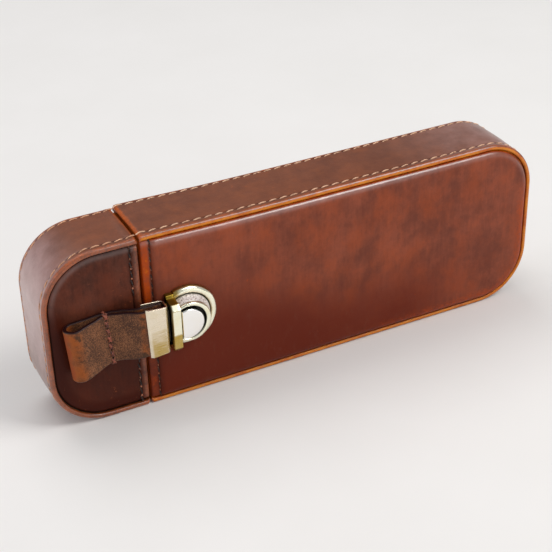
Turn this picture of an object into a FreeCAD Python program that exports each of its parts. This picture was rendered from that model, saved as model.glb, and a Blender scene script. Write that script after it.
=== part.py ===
import FreeCAD, Part
import math
import os
import re
import Sketcher

# Hard leather pen case that stands on its long edge: a stiff body, a cap hinged at the back
# by a leather strip, a tuck lock on the front and a sliding pen tray inside.
# X runs along the case with the cap at low X, -Y is the front, Z is up, and the origin lies
# under the middle of the case on the face that it stands on. All sizes are in millimetres.

# Driving sizes
SIZES = {
    # outside of the case, over the turned rims
    "case_length": 210.0,
    "case_height": 73.0,
    "case_depth": 27.2,
    "corner_radius": 22.0,
    "cap_length": 38.4,
    "seam_gap": 1.0,
    # leather, board and lining that make up every wall
    "band_leather": 1.6,
    "board_thickness": 1.5,
    "lining_cloth": 0.8,
    "glue_line": 0.1,
    "body_rim": 1.8,
    "cap_rim": 2.0,
    "edge_bevel": 0.8,
    "mouth_bevel": 0.6,
    # front and back panels
    "panel_leather": 1.2,
    "panel_skive": 0.5,
    "panel_rise": 1.0,
    "panel_round": 1.3,
    "rim_groove": 0.9,
    "mouth_strip": 3.6,
    "cap_panel_leather": 0.9,
    "cap_panel_skive": 0.3,
    "cap_strip": 3.0,
    "cap_strip_rise": 0.4,
    "cap_strip_round": 0.3,
    "inlay_gap": 0.15,
    # leather hinge at the back
    "hinge_leather": 1.5,
    "hinge_width": 21.4,
    "fold_groove": 0.5,
    "fold_width": 2.0,
    # turned mouth edges and the collar that centres the cap
    "facing_leather": 1.0,
    "collar_board": 0.8,
    "collar_round": 0.3,
    "collar_gap": 0.45,
    "collar_reach": 2.5,
    "collar_seat": 9.0,
    "lining_start": 4.5,
    # pen tray
    "tray_gap": 0.4,
    "tray_end_gap": 0.6,
    "tray_setback": 4.0,
    "tray_wall": 1.2,
    "channel_count": 3,
    "channel_radius": 7.8,
    "channel_floor": 0.8,
    "channel_length": 148.0,
    "tab_leather": 1.0,
    "tab_width": 12.0,
    "tab_reach": 7.5,
    "tab_foot": 6.0,
    "tab_round": 3.0,
    # strap on the cap, lengths along X counted from the seam or from its row of stitches
    "strap_leather": 1.45,
    "strap_width": 22.4,
    "strap_neck": 19.6,
    "strap_drop": 1.6,
    "strap_fold": 31.5,
    "strap_stitch": 15.0,
    "strap_land": 3.0,
    "strap_shoulder": 12.0,
    "strap_rise": 2.5,
    "strap_bulge": 5.6,
    "strap_bend": 6.0,
    # metal end of the strap
    "clip_height": 19.8,
    "clip_length": 7.95,
    "clip_start": 1.95,
    "clip_lift": 1.55,
    "clip_depth": 5.9,
    "clip_plate": 0.6,
    "clip_round": 0.9,
    "tongue_width": 13.6,
    "tongue_plate": 1.4,
    "tongue_round": 0.35,
    "tongue_lift": 3.7,
    "tongue_reach": 5.0,
    "eye_start": 1.7,
    "eye_length": 2.6,
    "eye_width": 11.0,
    "pin_radius": 0.7,
    "pin_spread": 12.0,
    "pin_setback": 4.2,
    # lock on the body, heights counted outwards from the rims
    "bar_start": 7.45,
    "bar_width": 3.4,
    "bar_height": 9.3,
    "bar_face_length": 16.3,
    "bar_foot_length": 23.6,
    "bar_round": 1.6,
    "skirt_radius": 12.5,
    "skirt_offset": 15.2,
    "skirt_height": 2.4,
    "skirt_wall": 2.2,
    "skirt_bevel": 0.7,
    "groove_width": 0.5,
    "groove_depth": 0.5,
    "cone_radius": 9.6,
    "cone_offset": 15.2,
    "cone_foot": 3.3,
    "ring_radius": 8.7,
    "ring_offset": 14.8,
    "ring_height": 7.7,
    "ring_land": 0.3,
    "button_radius": 6.35,
    "button_height": 7.6,
    "button_gap": 0.8,
    "button_side_gap": 0.9,
    "button_travel": 1.0,
    "button_bevel": 0.35,
    "button_corner": 0.75,
    "lip_height": 5.5,
    "flange_overlap": 0.7,
    "flange_plate": 0.8,
    "slot_gap": 0.4,
    "slot_ceiling": 6.7,
    "base_plate": 0.5,
    "seat_depth": 1.2,
    "running_gap": 0.2,
    "catch_plate": 0.7,
    "catch_width": 10.0,
    "catch_bite": 0.35,
    "catch_nose": 0.7,
    "catch_nose_gap": 0.5,
    "catch_post": 3.0,
    "spring_leaf": 0.3,
    "spring_foot": 0.9,
    "spring_width": 4.0,
    "spring_length": 4.4,
    # prongs of the base plate that hold the lock to the front wall, and their washer
    "prong_plate": 0.4,
    "prong_width": 2.4,
    "prong_rise": 7.6,
    "prong_left": 2.8,
    "prong_right": 4.5,
    "prong_foot": 2.4,
    "slit_gap": 0.05,
    "washer_plate": 0.5,
    "washer_recess": 1.0,
    "washer_width": 16.6,
    "washer_height": 22.6,
}

# Places worked out from the driving sizes
PLACES = {
    "mid_z": "case_height / 2",
    "half_depth": "case_depth / 2",
    "end_x": "case_length / 2",
    "cap_end_x": "-case_length / 2",
    "seam_x": "cap_length - case_length / 2",
    "body_mouth": "seam_x + seam_gap / 2",
    "cap_mouth": "seam_x - seam_gap / 2",
    # depth of each layer below the outside of the band
    "board_in": "band_leather + glue_line",
    "hollow_in": "board_in + board_thickness",
    "lining_in": "hollow_in + glue_line",
    "lined_in": "lining_in + lining_cloth",
    "collar_in": "hollow_in + collar_gap",
    "tray_in": "collar_in + collar_board + tray_gap",
    "bed_in": "tray_in + tray_wall + glue_line",
    # how far the board's front and back faces stand from the middle plane
    "board_face": "half_depth - board_in",
    "crest": "half_depth + panel_rise",
    "tray_face": "half_depth - tray_in",
    "tray_floor": "tray_face - tray_wall",
    "tray_start": "body_mouth + tray_setback",
    "tray_end": "end_x - lined_in - tray_end_gap",
    "tray_round": "corner_radius - tray_in",
    "bed_room": "case_height - 2 * bed_in",
    "channel_pitch": "bed_room / channel_count",
    "channel_axis": "tray_floor - glue_line - channel_floor - channel_radius",
    # strap end and lock along X
    "clip_left": "seam_x - clip_start",
    "clip_right": "clip_left + clip_length",
    "tongue_tip": "clip_right + tongue_reach",
    "eye_left": "clip_right + eye_start",
    "eye_right": "eye_left + eye_length",
    "bar_left": "seam_x + bar_start",
    "bar_right": "bar_left + bar_width",
    "skirt_x": "seam_x + skirt_offset",
    "cone_x": "seam_x + cone_offset",
    "ring_x": "seam_x + ring_offset",
    "button_flat": "bar_right + button_side_gap",
    # heights on the lock, from the middle plane
    "skirt_foot": "crest",
    "skirt_top": "crest + skirt_height",
    "bar_face": "half_depth + bar_height",
    "cone_low": "half_depth + cone_foot",
    "ring_top": "half_depth + ring_height",
    "ring_low": "ring_top - ring_land",
    "lip": "half_depth + lip_height",
    "slot_top": "half_depth + slot_ceiling",
    "base_top": "crest + base_plate",
    "seat_top": "crest + seat_depth",
    "button_top": "half_depth + button_height",
    "flange_top": "lip - running_gap",
    "flange_low": "flange_top - flange_plate",
    "tongue_low": "half_depth + tongue_lift",
    "tongue_top": "tongue_low + tongue_plate",
    "catch_low": "base_top + button_travel + running_gap / 2",
    "cavity_radius": "button_radius + button_gap + flange_overlap + running_gap",
    "flange_radius": "button_radius + button_gap + flange_overlap",
    "washer_inner": "board_face - board_thickness + washer_recess - washer_plate",
}

WORD = re.compile(r"[a-z][a-z_0-9]*")


def cells(text):
    """Turn size and place names into an expression on the spreadsheet's cells."""
    def swap(found):
        word = found.group(0)
        if word in SIZES:
            return "Sizes." + word
        if word in PLACES:
            return "(" + cells(PLACES[word]) + ")"
        return word
    return WORD.sub(swap, str(text))


def number(text):
    """The present value of an expression, for a sketch's starting geometry."""
    return float(sheet.evalExpression(cells(text)))


def fill_sheet():
    """Write every driving size into its own named cell."""
    made = doc.addObject("Spreadsheet::Sheet", "Sizes")
    for row, (name, value) in enumerate(SIZES.items(), 1):
        made.set(f"A{row}", name)
        made.set(f"B{row}", str(value))
        made.setAlias(f"B{row}", name)
    doc.recompute()
    return made


# Building blocks
nodes = []
PLANES = {"front": "XZ_Plane", "top": "XY_Plane", "side": "YZ_Plane"}


def piece(label):
    """Start one physical piece."""
    made = doc.addObject("PartDesign::Body", label)
    made.Label = label
    nodes.append(made)
    return made


def sketch(owner, view, lift="0"):
    """A sketch on the owner's own plane. A front sketch is lifted towards the front (-Y)."""
    made = owner.newObject("Sketcher::SketchObject", owner.Label + "_sketch")
    plane = next(item for item in owner.Origin.OriginFeatures if item.Role == PLANES[view])
    made.AttachmentSupport = [(plane, "")]
    made.MapMode = "FlatFace"
    made.setExpression("AttachmentOffset.Base.z", cells(lift))
    return made


def size(drawing, kind, value, *places):
    """Add one dimension and bind it to the sheet."""
    index = drawing.addConstraint(Sketcher.Constraint(kind, *places, number(value)))
    drawing.setExpression(f"Constraints[{index}]", cells(value))


def pin_point(drawing, line, end, x, y):
    """Fix one end of a line, or a centre, to a place counted from the sketch's origin."""
    size(drawing, "DistanceX", x, -1, 1, line, end)
    size(drawing, "DistanceY", y, -1, 1, line, end)


def polygon(drawing, corners):
    """A closed outline through corners given as pairs of expressions."""
    points = [FreeCAD.Vector(number(x), number(y), 0) for x, y in corners]
    count = len(points)
    first = len(drawing.Geometry)
    for i in range(count):
        drawing.addGeometry(Part.LineSegment(points[i], points[(i + 1) % count]), False)
    for i in range(count):
        following = first + (i + 1) % count
        drawing.addConstraint(Sketcher.Constraint("Coincident", first + i, 2, following, 1))
    for i, (x, y) in enumerate(corners):
        pin_point(drawing, first + i, 1, x, y)


def rectangle(drawing, left, low, right, high):
    """An upright rectangle."""
    polygon(drawing, [(left, low), (right, low), (right, high), (left, high)])


def circle(drawing, x, y, radius):
    """A circle."""
    centre = FreeCAD.Vector(number(x), number(y), 0)
    made = Part.Circle(centre, FreeCAD.Vector(0, 0, 1), number(radius))
    index = drawing.addGeometry(made, False)
    size(drawing, "Radius", radius, index)
    pin_point(drawing, index, 3, x, y)


def arc(centre, radius, start, stop):
    """An arc that turns anticlockwise between two angles in degrees."""
    whole = Part.Circle(centre, FreeCAD.Vector(0, 0, 1), radius)
    return Part.ArcOfCircle(whole, math.radians(start), math.radians(stop))


def round_end(drawing, mouth, end, inset, radius):
    """The case's side outline: square at the mouth, with two round corners at the far end."""
    m, e, r = number(mouth), number(end), number(radius)
    low, high = number(inset), number(f"case_height - ({inset})")
    way = 1 if e > m else -1
    near = e - way * r
    point = FreeCAD.Vector
    upper = (0, 90) if way > 0 else (90, 180)
    lower = (270, 360) if way > 0 else (180, 270)
    drawing.addGeometry(Part.LineSegment(point(m, low, 0), point(m, high, 0)), False)
    drawing.addGeometry(Part.LineSegment(point(m, high, 0), point(near, high, 0)), False)
    drawing.addGeometry(arc(point(near, high - r, 0), r, *upper), False)
    drawing.addGeometry(Part.LineSegment(point(e, high - r, 0), point(e, low + r, 0)), False)
    drawing.addGeometry(arc(point(near, low + r, 0), r, *lower), False)
    drawing.addGeometry(Part.LineSegment(point(near, low, 0), point(m, low, 0)), False)
    # an arc's start is its clockwise end
    top_end, side_end = (2, 1) if way > 0 else (1, 2)
    for kind, places in (
        ("Coincident", (0, 2, 1, 1)),
        ("Tangent", (1, 2, 2, top_end)),
        ("Tangent", (2, side_end, 3, 1)),
        ("Tangent", (3, 2, 4, top_end)),
        ("Tangent", (4, side_end, 5, 1)),
        ("Coincident", (5, 2, 0, 1)),
        ("Vertical", (0,)),
        ("Horizontal", (1,)),
        ("Vertical", (3,)),
        ("Horizontal", (5,)),
        ("Equal", (2, 4)),
    ):
        drawing.addConstraint(Sketcher.Constraint(kind, *places))
    size(drawing, "Radius", radius, 2)
    pin_point(drawing, 0, 1, mouth, inset)
    size(drawing, "DistanceY", f"case_height - ({inset})", -1, 1, 0, 2)
    size(drawing, "DistanceX", end, -1, 1, 3, 1)


def half_moon(drawing, flat, x, radius):
    """A disc about the lock's centre height with its left side cut off straight."""
    z, f, c, r = number("mid_z"), number(flat), number(x), number(radius)
    half = math.sqrt(r * r - (f - c) ** 2)
    angle = math.degrees(math.atan2(half, f - c))
    point = FreeCAD.Vector
    drawing.addGeometry(arc(point(c, z, 0), r, -angle, angle), False)
    drawing.addGeometry(Part.LineSegment(point(f, z + half, 0), point(f, z - half, 0)), False)
    drawing.addConstraint(Sketcher.Constraint("Coincident", 0, 2, 1, 1))
    drawing.addConstraint(Sketcher.Constraint("Coincident", 1, 2, 0, 1))
    drawing.addConstraint(Sketcher.Constraint("Vertical", 1))
    size(drawing, "Radius", radius, 0)
    pin_point(drawing, 0, 3, x, "mid_z")
    size(drawing, "DistanceX", flat, -1, 1, 1, 1)


def pad(owner, drawing, length, both=False):
    """Add material along the sketch's normal, or half of it to each side."""
    made = owner.newObject("PartDesign::Pad", owner.Label + "_pad")
    made.Profile = (drawing, [""])
    made.setExpression("Length", cells(length))
    made.SideType = "Symmetric" if both else "One side"
    doc.recompute()


def pocket(owner, drawing, length, both=False, ahead=False):
    """Cut back against the sketch's normal, or ahead along it, and make sure that it cuts."""
    before = owner.Shape.Volume
    made = owner.newObject("PartDesign::Pocket", owner.Label + "_pocket")
    made.Profile = (drawing, [""])
    made.setExpression("Length", cells(length))
    made.SideType = "Symmetric" if both else "One side"
    made.Reversed = ahead
    doc.recompute()
    if owner.Shape.Volume > before - 1e-4:
        raise RuntimeError(f"a pocket in {owner.Label} cuts nothing")
    return made


def flat_at(edge, **places):
    """Whether an edge lies in the planes named, such as y=-3."""
    box = edge.BoundBox
    for axis, value in places.items():
        low = getattr(box, axis.upper() + "Min")
        high = getattr(box, axis.upper() + "Max")
        if abs(low - value) > 1e-3 or abs(high - value) > 1e-3:
            return False
    return True


def soften(owner, width, choose, bevel=False):
    """Round the edges that the test picks, or cut them to a flat bevel."""
    tip = owner.Tip
    names = [f"Edge{i}" for i, edge in enumerate(tip.Shape.Edges, 1) if choose(edge)]
    if not names:
        raise RuntimeError(f"no edge to soften on {owner.Label}")
    kind, value = ("Chamfer", "Size") if bevel else ("Fillet", "Radius")
    made = owner.newObject("PartDesign::" + kind, owner.Label + "_edge")
    made.Base = (tip, names)
    made.setExpression(value, cells(width))
    doc.recompute()


def prong_outlines(drawing, gap, foot="0"):
    """Sections of the four prongs, with a gap all round or a foot that points away."""
    for x in ("skirt_x - prong_left", "skirt_x + prong_right"):
        left = f"{x} - prong_width / 2 - ({gap})"
        right = f"{x} + prong_width / 2 + ({gap})"
        inner = f"prong_rise - prong_plate / 2 - ({gap})"
        outer = f"prong_rise + prong_plate / 2 + ({gap}) + ({foot})"
        rectangle(drawing, left, f"mid_z + {inner}", right, f"mid_z + {outer}")
        rectangle(drawing, left, f"mid_z - ({outer})", right, f"mid_z - ({inner})")


def prong_slits(owner, lift, length):
    """Slits for the prongs through one layer."""
    drawing = sketch(owner, "front", lift)
    prong_outlines(drawing, "slit_gap")
    pocket(owner, drawing, length)


# Walls of the case
def side_band(label, mouth, end, rim):
    """Leather band round the edge, turned over the front and back as rims."""
    way = 1 if number(end) > number(mouth) else -1
    made = piece(label)
    outside = sketch(made, "front")
    round_end(outside, mouth, end, "0", "corner_radius")
    pad(made, outside, "case_depth", both=True)
    through = sketch(made, "front")
    far = f"({mouth}) - ({way}) * ({rim})"
    round_end(through, far, f"({end}) - ({way}) * ({rim})", rim, f"corner_radius - ({rim})")
    pocket(made, through, f"case_depth + ({rim})", both=True)
    channel = sketch(made, "front")
    round_end(channel, far, f"({end}) - ({way}) * band_leather", "band_leather",
              "corner_radius - band_leather")
    pocket(made, channel, "case_depth - 2 * band_leather", both=True)
    face = number("half_depth")
    outer = number("corner_radius")
    low, high = 0.0, number("case_height")

    def outer_rim(edge):
        on_face = flat_at(edge, y=face) or flat_at(edge, y=-face)
        if not on_face:
            return False
        straight = flat_at(edge, z=low) or flat_at(edge, z=high) or flat_at(edge, x=number(end))
        curved = isinstance(edge.Curve, Part.Circle) and abs(edge.Curve.Radius - outer) < 1e-3
        return straight or curved
    soften(made, "edge_bevel", outer_rim, bevel=True)

    def mouth_edge(edge):
        return flat_at(edge, x=number(mouth), z=low) or flat_at(edge, x=number(mouth), z=high)
    soften(made, "mouth_bevel", mouth_edge, bevel=True)


def tray_shell(owner, mouth, end, inset, wall, opening):
    """A stiff box open at the mouth, used for the board shells and the linings."""
    way = 1 if number(end) > number(mouth) else -1
    outside = sketch(owner, "front")
    round_end(outside, mouth, f"({end}) - ({way}) * ({inset})", inset,
              f"corner_radius - ({inset})")
    pad(owner, outside, f"case_depth - 2 * ({inset})", both=True)
    deep = f"({inset}) + ({wall})"
    hollow = sketch(owner, "front")
    round_end(hollow, f"({mouth}) - ({way}) * ({opening})", f"({end}) - ({way}) * ({deep})",
              deep, f"corner_radius - ({deep})")
    pocket(owner, hollow, f"case_depth - 2 * ({deep})", both=True)


def board_shell(label, mouth, end):
    """Rigid board that gives one half of the case its shape."""
    way = 1 if number(end) > number(mouth) else -1
    made = piece(label)
    start = f"({mouth}) + ({way}) * (facing_leather + glue_line)"
    tray_shell(made, start, end, "board_in", "board_thickness", "board_thickness")
    return made


def lining(label, start, end):
    """Cloth lining glued inside the board."""
    made = piece(label)
    tray_shell(made, start, end, "lining_in", "lining_cloth", "lining_cloth")
    return made


def mouth_ring(owner, start, length, inset, wall):
    """A rectangular ring round the mouth, drawn on the side view."""
    drawing = sketch(owner, "side", start)
    outer = f"half_depth - ({inset})"
    rectangle(drawing, f"-({outer})", inset, outer, f"case_height - ({inset})")
    inner = f"half_depth - ({inset}) - ({wall})"
    rectangle(drawing, f"-({inner})", f"({inset}) + ({wall})", inner,
              f"case_height - ({inset}) - ({wall})")
    pad(owner, drawing, length)


def mouth_facing(label, start):
    """Leather turned over the end of the board at the mouth."""
    made = piece(label)
    mouth_ring(made, start, "facing_leather", "board_in", "board_thickness")
    return made


def mouth_collar():
    """Stiff collar inside the body that stands into the cap and centres it."""
    made = piece("mouth_collar")
    start = "seam_x - collar_reach"
    mouth_ring(made, start, "collar_reach + collar_seat", "collar_in", "collar_board")
    tip = number(start)
    face = number("half_depth - collar_in")
    low, high = number("collar_in"), number("case_height - collar_in")

    def leading(edge):
        return (flat_at(edge, x=tip, y=face) or flat_at(edge, x=tip, y=-face)
                or flat_at(edge, x=tip, z=low) or flat_at(edge, x=tip, z=high))
    soften(made, "collar_round", leading)


def body_front_panel():
    """Padded front leather: skived edge, flat strip at the mouth, raised face."""
    made = piece("body_front_panel")
    skive = sketch(made, "front", "board_face")
    round_end(skive, "body_mouth", "end_x - body_rim - inlay_gap", "body_rim + inlay_gap",
              "corner_radius - body_rim - inlay_gap")
    pad(made, skive, "panel_skive")
    edge_in = "body_rim + rim_groove"
    strip = sketch(made, "front", "board_face")
    round_end(strip, "body_mouth", "end_x - body_rim - rim_groove", edge_in,
              "corner_radius - body_rim - rim_groove")
    pad(made, strip, "panel_leather")
    mouth, flat = number("body_mouth"), -number("board_face + panel_leather")
    soften(made, "panel_skive", lambda edge: flat_at(edge, x=mouth, y=flat))
    face = sketch(made, "front", "board_face")
    round_end(face, "body_mouth + mouth_strip", "end_x - body_rim - rim_groove", edge_in,
              "corner_radius - body_rim - rim_groove")
    pad(made, face, "crest - board_face")
    top = -number("crest")
    soften(made, "panel_round", lambda edge: flat_at(edge, y=top))
    hollow = sketch(made, "front", "crest - panel_leather")
    round_end(hollow, "body_mouth + mouth_strip + panel_leather",
              "end_x - body_rim - rim_groove - panel_leather", f"{edge_in} + panel_leather",
              "corner_radius - body_rim - rim_groove - panel_leather")
    pocket(made, hollow, "crest - panel_leather - board_face")
    prong_slits(made, "crest", "crest - board_face")


def body_front_padding():
    """Foam sheet between the board and the front leather."""
    made = piece("body_front_padding")
    edge_in = "body_rim + rim_groove + panel_leather + glue_line"
    block = sketch(made, "front", "board_face")
    round_end(block, "body_mouth + mouth_strip + panel_leather + glue_line",
              "end_x - body_rim - rim_groove - panel_leather - glue_line", edge_in,
              "corner_radius - body_rim - rim_groove - panel_leather - glue_line")
    pad(made, block, "crest - panel_leather - glue_line - board_face")
    prong_slits(made, "crest", "crest - board_face")


def cap_front_panel():
    """Flat front leather of the cap, sunk below the rims, with a raised strip at the mouth."""
    made = piece("cap_front_panel")
    skive = sketch(made, "front", "board_face")
    round_end(skive, "cap_mouth", "cap_end_x + cap_rim + inlay_gap", "cap_rim + inlay_gap",
              "corner_radius - cap_rim - inlay_gap")
    pad(made, skive, "cap_panel_skive")
    edge_in = "cap_rim + rim_groove"
    face = sketch(made, "front", "board_face")
    round_end(face, "cap_mouth", "cap_end_x + cap_rim + rim_groove", edge_in,
              "corner_radius - cap_rim - rim_groove")
    pad(made, face, "cap_panel_leather")
    strip = sketch(made, "front", "board_face")
    rectangle(strip, "cap_mouth - cap_strip", edge_in, "cap_mouth", f"case_height - ({edge_in})")
    pad(made, strip, "cap_panel_leather + cap_strip_rise")
    top = -number("board_face + cap_panel_leather + cap_strip_rise")
    left, right = number("cap_mouth - cap_strip"), number("cap_mouth")
    soften(made, "cap_strip_round",
           lambda edge: flat_at(edge, x=left, y=top) or flat_at(edge, x=right, y=top))


def back_panel(label, start, end, way, rim):
    """Back leather of one half, inlaid between the rims and the hinge strip."""
    made = piece(label)
    drawing = sketch(made, "front", "-board_face - panel_leather")
    inset = f"({rim}) + inlay_gap"
    round_end(drawing, start, f"({end}) - ({way}) * ({inset})", inset,
              f"corner_radius - ({inset})")
    pad(made, drawing, "panel_leather")
    face = number("board_face + panel_leather")
    soften(made, "panel_skive", lambda edge: flat_at(edge, y=face), bevel=True)


def hinge_strip():
    """Leather strip across the seam at the back that the cap swings on."""
    made = piece("hinge_strip")
    block = sketch(made, "front", "-board_face - hinge_leather")
    inset = "cap_rim + inlay_gap"
    rectangle(block, "seam_x - hinge_width / 2", inset, "seam_x + hinge_width / 2",
              f"case_height - ({inset})")
    pad(made, block, "hinge_leather")
    face = number("board_face + hinge_leather")
    soften(made, "panel_skive", lambda edge: flat_at(edge, y=face))
    fold = sketch(made, "top")
    outer = "board_face + hinge_leather"
    polygon(fold, [("seam_x - fold_width / 2", outer), ("seam_x", f"{outer} - fold_groove"),
                   ("seam_x + fold_width / 2", outer)])
    pocket(made, fold, "case_height", ahead=True)


# Lock
def lock_case():
    """Cast housing of the lock: bar with the tongue's slot, skirt, cone and ring."""
    made = piece("lock_case")
    skirt = sketch(made, "front", "skirt_foot")
    half_moon(skirt, "bar_right - bar_round", "skirt_x", "skirt_radius")
    pad(made, skirt, "skirt_height")
    radius = number("skirt_radius")
    top = -number("skirt_top")
    soften(made, "skirt_bevel", lambda edge: flat_at(edge, y=top)
           and isinstance(edge.Curve, Part.Circle), bevel=True)
    groove = sketch(made, "front", "skirt_top")
    circle(groove, "skirt_x", "mid_z", "skirt_radius - skirt_wall")
    circle(groove, "skirt_x", "mid_z", "skirt_radius - skirt_wall - groove_width")
    pocket(made, groove, "groove_depth")
    low = sketch(made, "front", "cone_low")
    half_moon(low, "bar_right", "cone_x", "cone_radius")
    high = sketch(made, "front", "ring_low")
    half_moon(high, "bar_right", "ring_x", "ring_radius")
    cone = made.newObject("PartDesign::AdditiveLoft", "lock_case_cone")
    cone.Profile = low
    cone.Sections = [high]
    cone.Ruled = True
    doc.recompute()
    ring = sketch(made, "front", "ring_low")
    half_moon(ring, "bar_right", "ring_x", "ring_radius")
    pad(made, ring, "ring_land")
    bar = sketch(made, "side", "bar_left")
    polygon(bar, [
        ("-skirt_foot", "mid_z - bar_foot_length / 2"),
        ("-skirt_foot", "mid_z + bar_foot_length / 2"),
        ("-bar_face", "mid_z + bar_face_length / 2"),
        ("-bar_face", "mid_z - bar_face_length / 2"),
    ])
    pad(made, bar, "bar_width")
    face = -number("bar_face")
    soften(made, "bar_round", lambda edge: flat_at(edge, y=face) and edge.BoundBox.XLength > 2)
    opening = sketch(made, "front", "ring_top")
    half_moon(opening, "bar_right", "ring_x", "button_radius + button_gap")
    pocket(made, opening, "ring_top - lip")
    cavity = sketch(made, "front", "lip")
    half_moon(cavity, "bar_right", "ring_x", "cavity_radius")
    pocket(made, cavity, "lip - skirt_foot")
    seat = sketch(made, "front", "seat_top")
    half_moon(seat, "bar_right", "skirt_x", "skirt_radius - skirt_wall")
    pocket(made, seat, "seat_top - skirt_foot")
    slot = sketch(made, "front", "slot_top")
    rectangle(slot, "bar_left - glue_line", "mid_z - tongue_width / 2 - slot_gap",
              "bar_right + glue_line", "mid_z + tongue_width / 2 + slot_gap")
    pocket(made, slot, "slot_top - skirt_foot")


def lock_base():
    """Plate that closes the housing from behind; its prongs go through the wall and turn over."""
    made = piece("lock_base")
    disc = sketch(made, "front", "skirt_foot")
    half_moon(disc, "bar_right + slit_gap", "skirt_x", "skirt_radius - skirt_wall - slit_gap")
    pad(made, disc, "base_plate")
    step = sketch(made, "front", "skirt_foot")
    half = "tongue_width / 2 + slot_gap - slit_gap"
    rectangle(step, "bar_left", f"mid_z - ({half})", "skirt_x", f"mid_z + ({half})")
    pad(made, step, "base_plate")
    end = "washer_inner - prong_plate"
    prongs = sketch(made, "front", end)
    prong_outlines(prongs, "0")
    pad(made, prongs, f"skirt_foot + base_plate / 2 - ({end})")
    feet = sketch(made, "front", end)
    prong_outlines(feet, "0", "prong_foot")
    pad(made, feet, "prong_plate")


def lock_backplate():
    """Washer plate let into the inside of the board behind the lock."""
    made = piece("lock_backplate")
    drawing = sketch(made, "front", "washer_inner")
    washer_outline(drawing, "0")
    pad(made, drawing, "washer_plate")
    prong_slits(made, "washer_inner + washer_plate", "washer_plate")


def washer_outline(drawing, gap):
    """Outline of the washer plate, or of its recess with a gap all round."""
    reach = f"washer_width / 2 + ({gap})"
    half = f"washer_height / 2 + ({gap})"
    rectangle(drawing, f"skirt_x - ({reach})", f"mid_z - ({half})", f"skirt_x + ({reach})",
              f"mid_z + ({half})")


def lock_button():
    """Half-moon button with the flange that the housing's lip holds in."""
    made = piece("lock_button")
    flange = sketch(made, "front", "flange_low")
    half_moon(flange, "button_flat", "ring_x", "flange_radius")
    pad(made, flange, "flange_plate")
    head = sketch(made, "front", "flange_top")
    half_moon(head, "button_flat", "ring_x", "button_radius")
    pad(made, head, "button_top - flange_top")
    top = -number("button_top")
    flat = number("button_flat")
    soften(made, "button_corner", lambda edge: flat_at(edge, x=flat)
           and edge.BoundBox.YMin < top + 1e-3 and edge.BoundBox.ZLength < 1e-3)
    soften(made, "button_bevel", lambda edge: flat_at(edge, y=top), bevel=True)


def lock_catch():
    """Catch under the button: a plate, a nose that stands in the tongue's eye and a post."""
    made = piece("lock_catch")
    plate = sketch(made, "front", "catch_low")
    nose_left = "eye_left + catch_nose_gap"
    rectangle(plate, nose_left, "mid_z - catch_width / 2", "ring_x + catch_post / 2",
              "mid_z + catch_width / 2")
    pad(made, plate, "catch_plate")
    nose = sketch(made, "front", "catch_low")
    rectangle(nose, nose_left, "mid_z - catch_width / 2", f"{nose_left} + catch_nose",
              "mid_z + catch_width / 2")
    pad(made, nose, "tongue_low + catch_bite - catch_low")
    post = sketch(made, "front", "catch_low")
    rectangle(post, "ring_x - catch_post / 2", "mid_z - catch_post / 2",
              "ring_x + catch_post / 2", "mid_z + catch_post / 2")
    pad(made, post, "flange_low - catch_low")


def lock_spring():
    """Bent leaf spring that pushes the button outwards."""
    made = piece("lock_spring")
    drawing = sketch(made, "top", "mid_z")
    left = "ring_x + catch_post / 2 + running_gap"
    right = f"{left} + spring_length"
    polygon(drawing, [
        (left, "-base_top"),
        (right, "-base_top"),
        (f"{left} + spring_leaf", "-flange_low"),
        (left, "-flange_low + spring_leaf"),
        (f"{right} - spring_foot", "-base_top - spring_leaf"),
        (left, "-base_top - spring_leaf"),
    ])
    pad(made, drawing, "spring_width", both=True)


# Strap and its metal end
def strap_clip():
    """Metal strap end: a folded plate with a flat tongue that has an eye."""
    made = piece("strap_clip")
    low, high = "half_depth + clip_lift", "half_depth + clip_lift + clip_depth"
    fold = sketch(made, "top", "mid_z")
    polygon(fold, [
        ("clip_left", f"-({low})"),
        ("clip_right", f"-({low})"),
        ("clip_right", f"-({high})"),
        ("clip_left", f"-({high})"),
        ("clip_left", f"-({high}) + clip_plate"),
        ("clip_right - clip_plate", f"-({high}) + clip_plate"),
        ("clip_right - clip_plate", f"-({low}) - clip_plate"),
        ("clip_left", f"-({low}) - clip_plate"),
    ])
    pad(made, fold, "clip_height", both=True)
    right = number("clip_right")
    soften(made, "clip_round", lambda edge: flat_at(edge, x=right) and (
        flat_at(edge, y=-number(low)) or flat_at(edge, y=-number(high))))
    tongue = sketch(made, "top", "mid_z")
    rectangle(tongue, "clip_right - clip_plate", "-tongue_top", "tongue_tip", "-tongue_low")
    pad(made, tongue, "tongue_width", both=True)
    tip = number("tongue_tip")
    soften(made, "tongue_round", lambda edge: flat_at(edge, x=tip))
    eye = sketch(made, "front", "tongue_top")
    rectangle(eye, "eye_left", "mid_z - eye_width / 2", "eye_right", "mid_z + eye_width / 2")
    pocket(made, eye, "tongue_plate")
    holes = sketch(made, "front", f"{low} + clip_plate")
    for way in (1, -1):
        circle(holes, "clip_right - pin_setback", f"mid_z + ({way}) * pin_spread / 2",
               "pin_radius + slit_gap")
    pocket(made, holes, "clip_plate")


def clip_pins():
    """Two pins through the strap inside the metal end."""
    made = piece("clip_pins")
    made.AllowCompound = True
    drawing = sketch(made, "front", "half_depth + clip_lift")
    for way in (1, -1):
        circle(drawing, "clip_right - pin_setback", f"mid_z + ({way}) * pin_spread / 2",
               "pin_radius")
    pad(made, drawing, "clip_depth - clip_plate")


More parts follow.
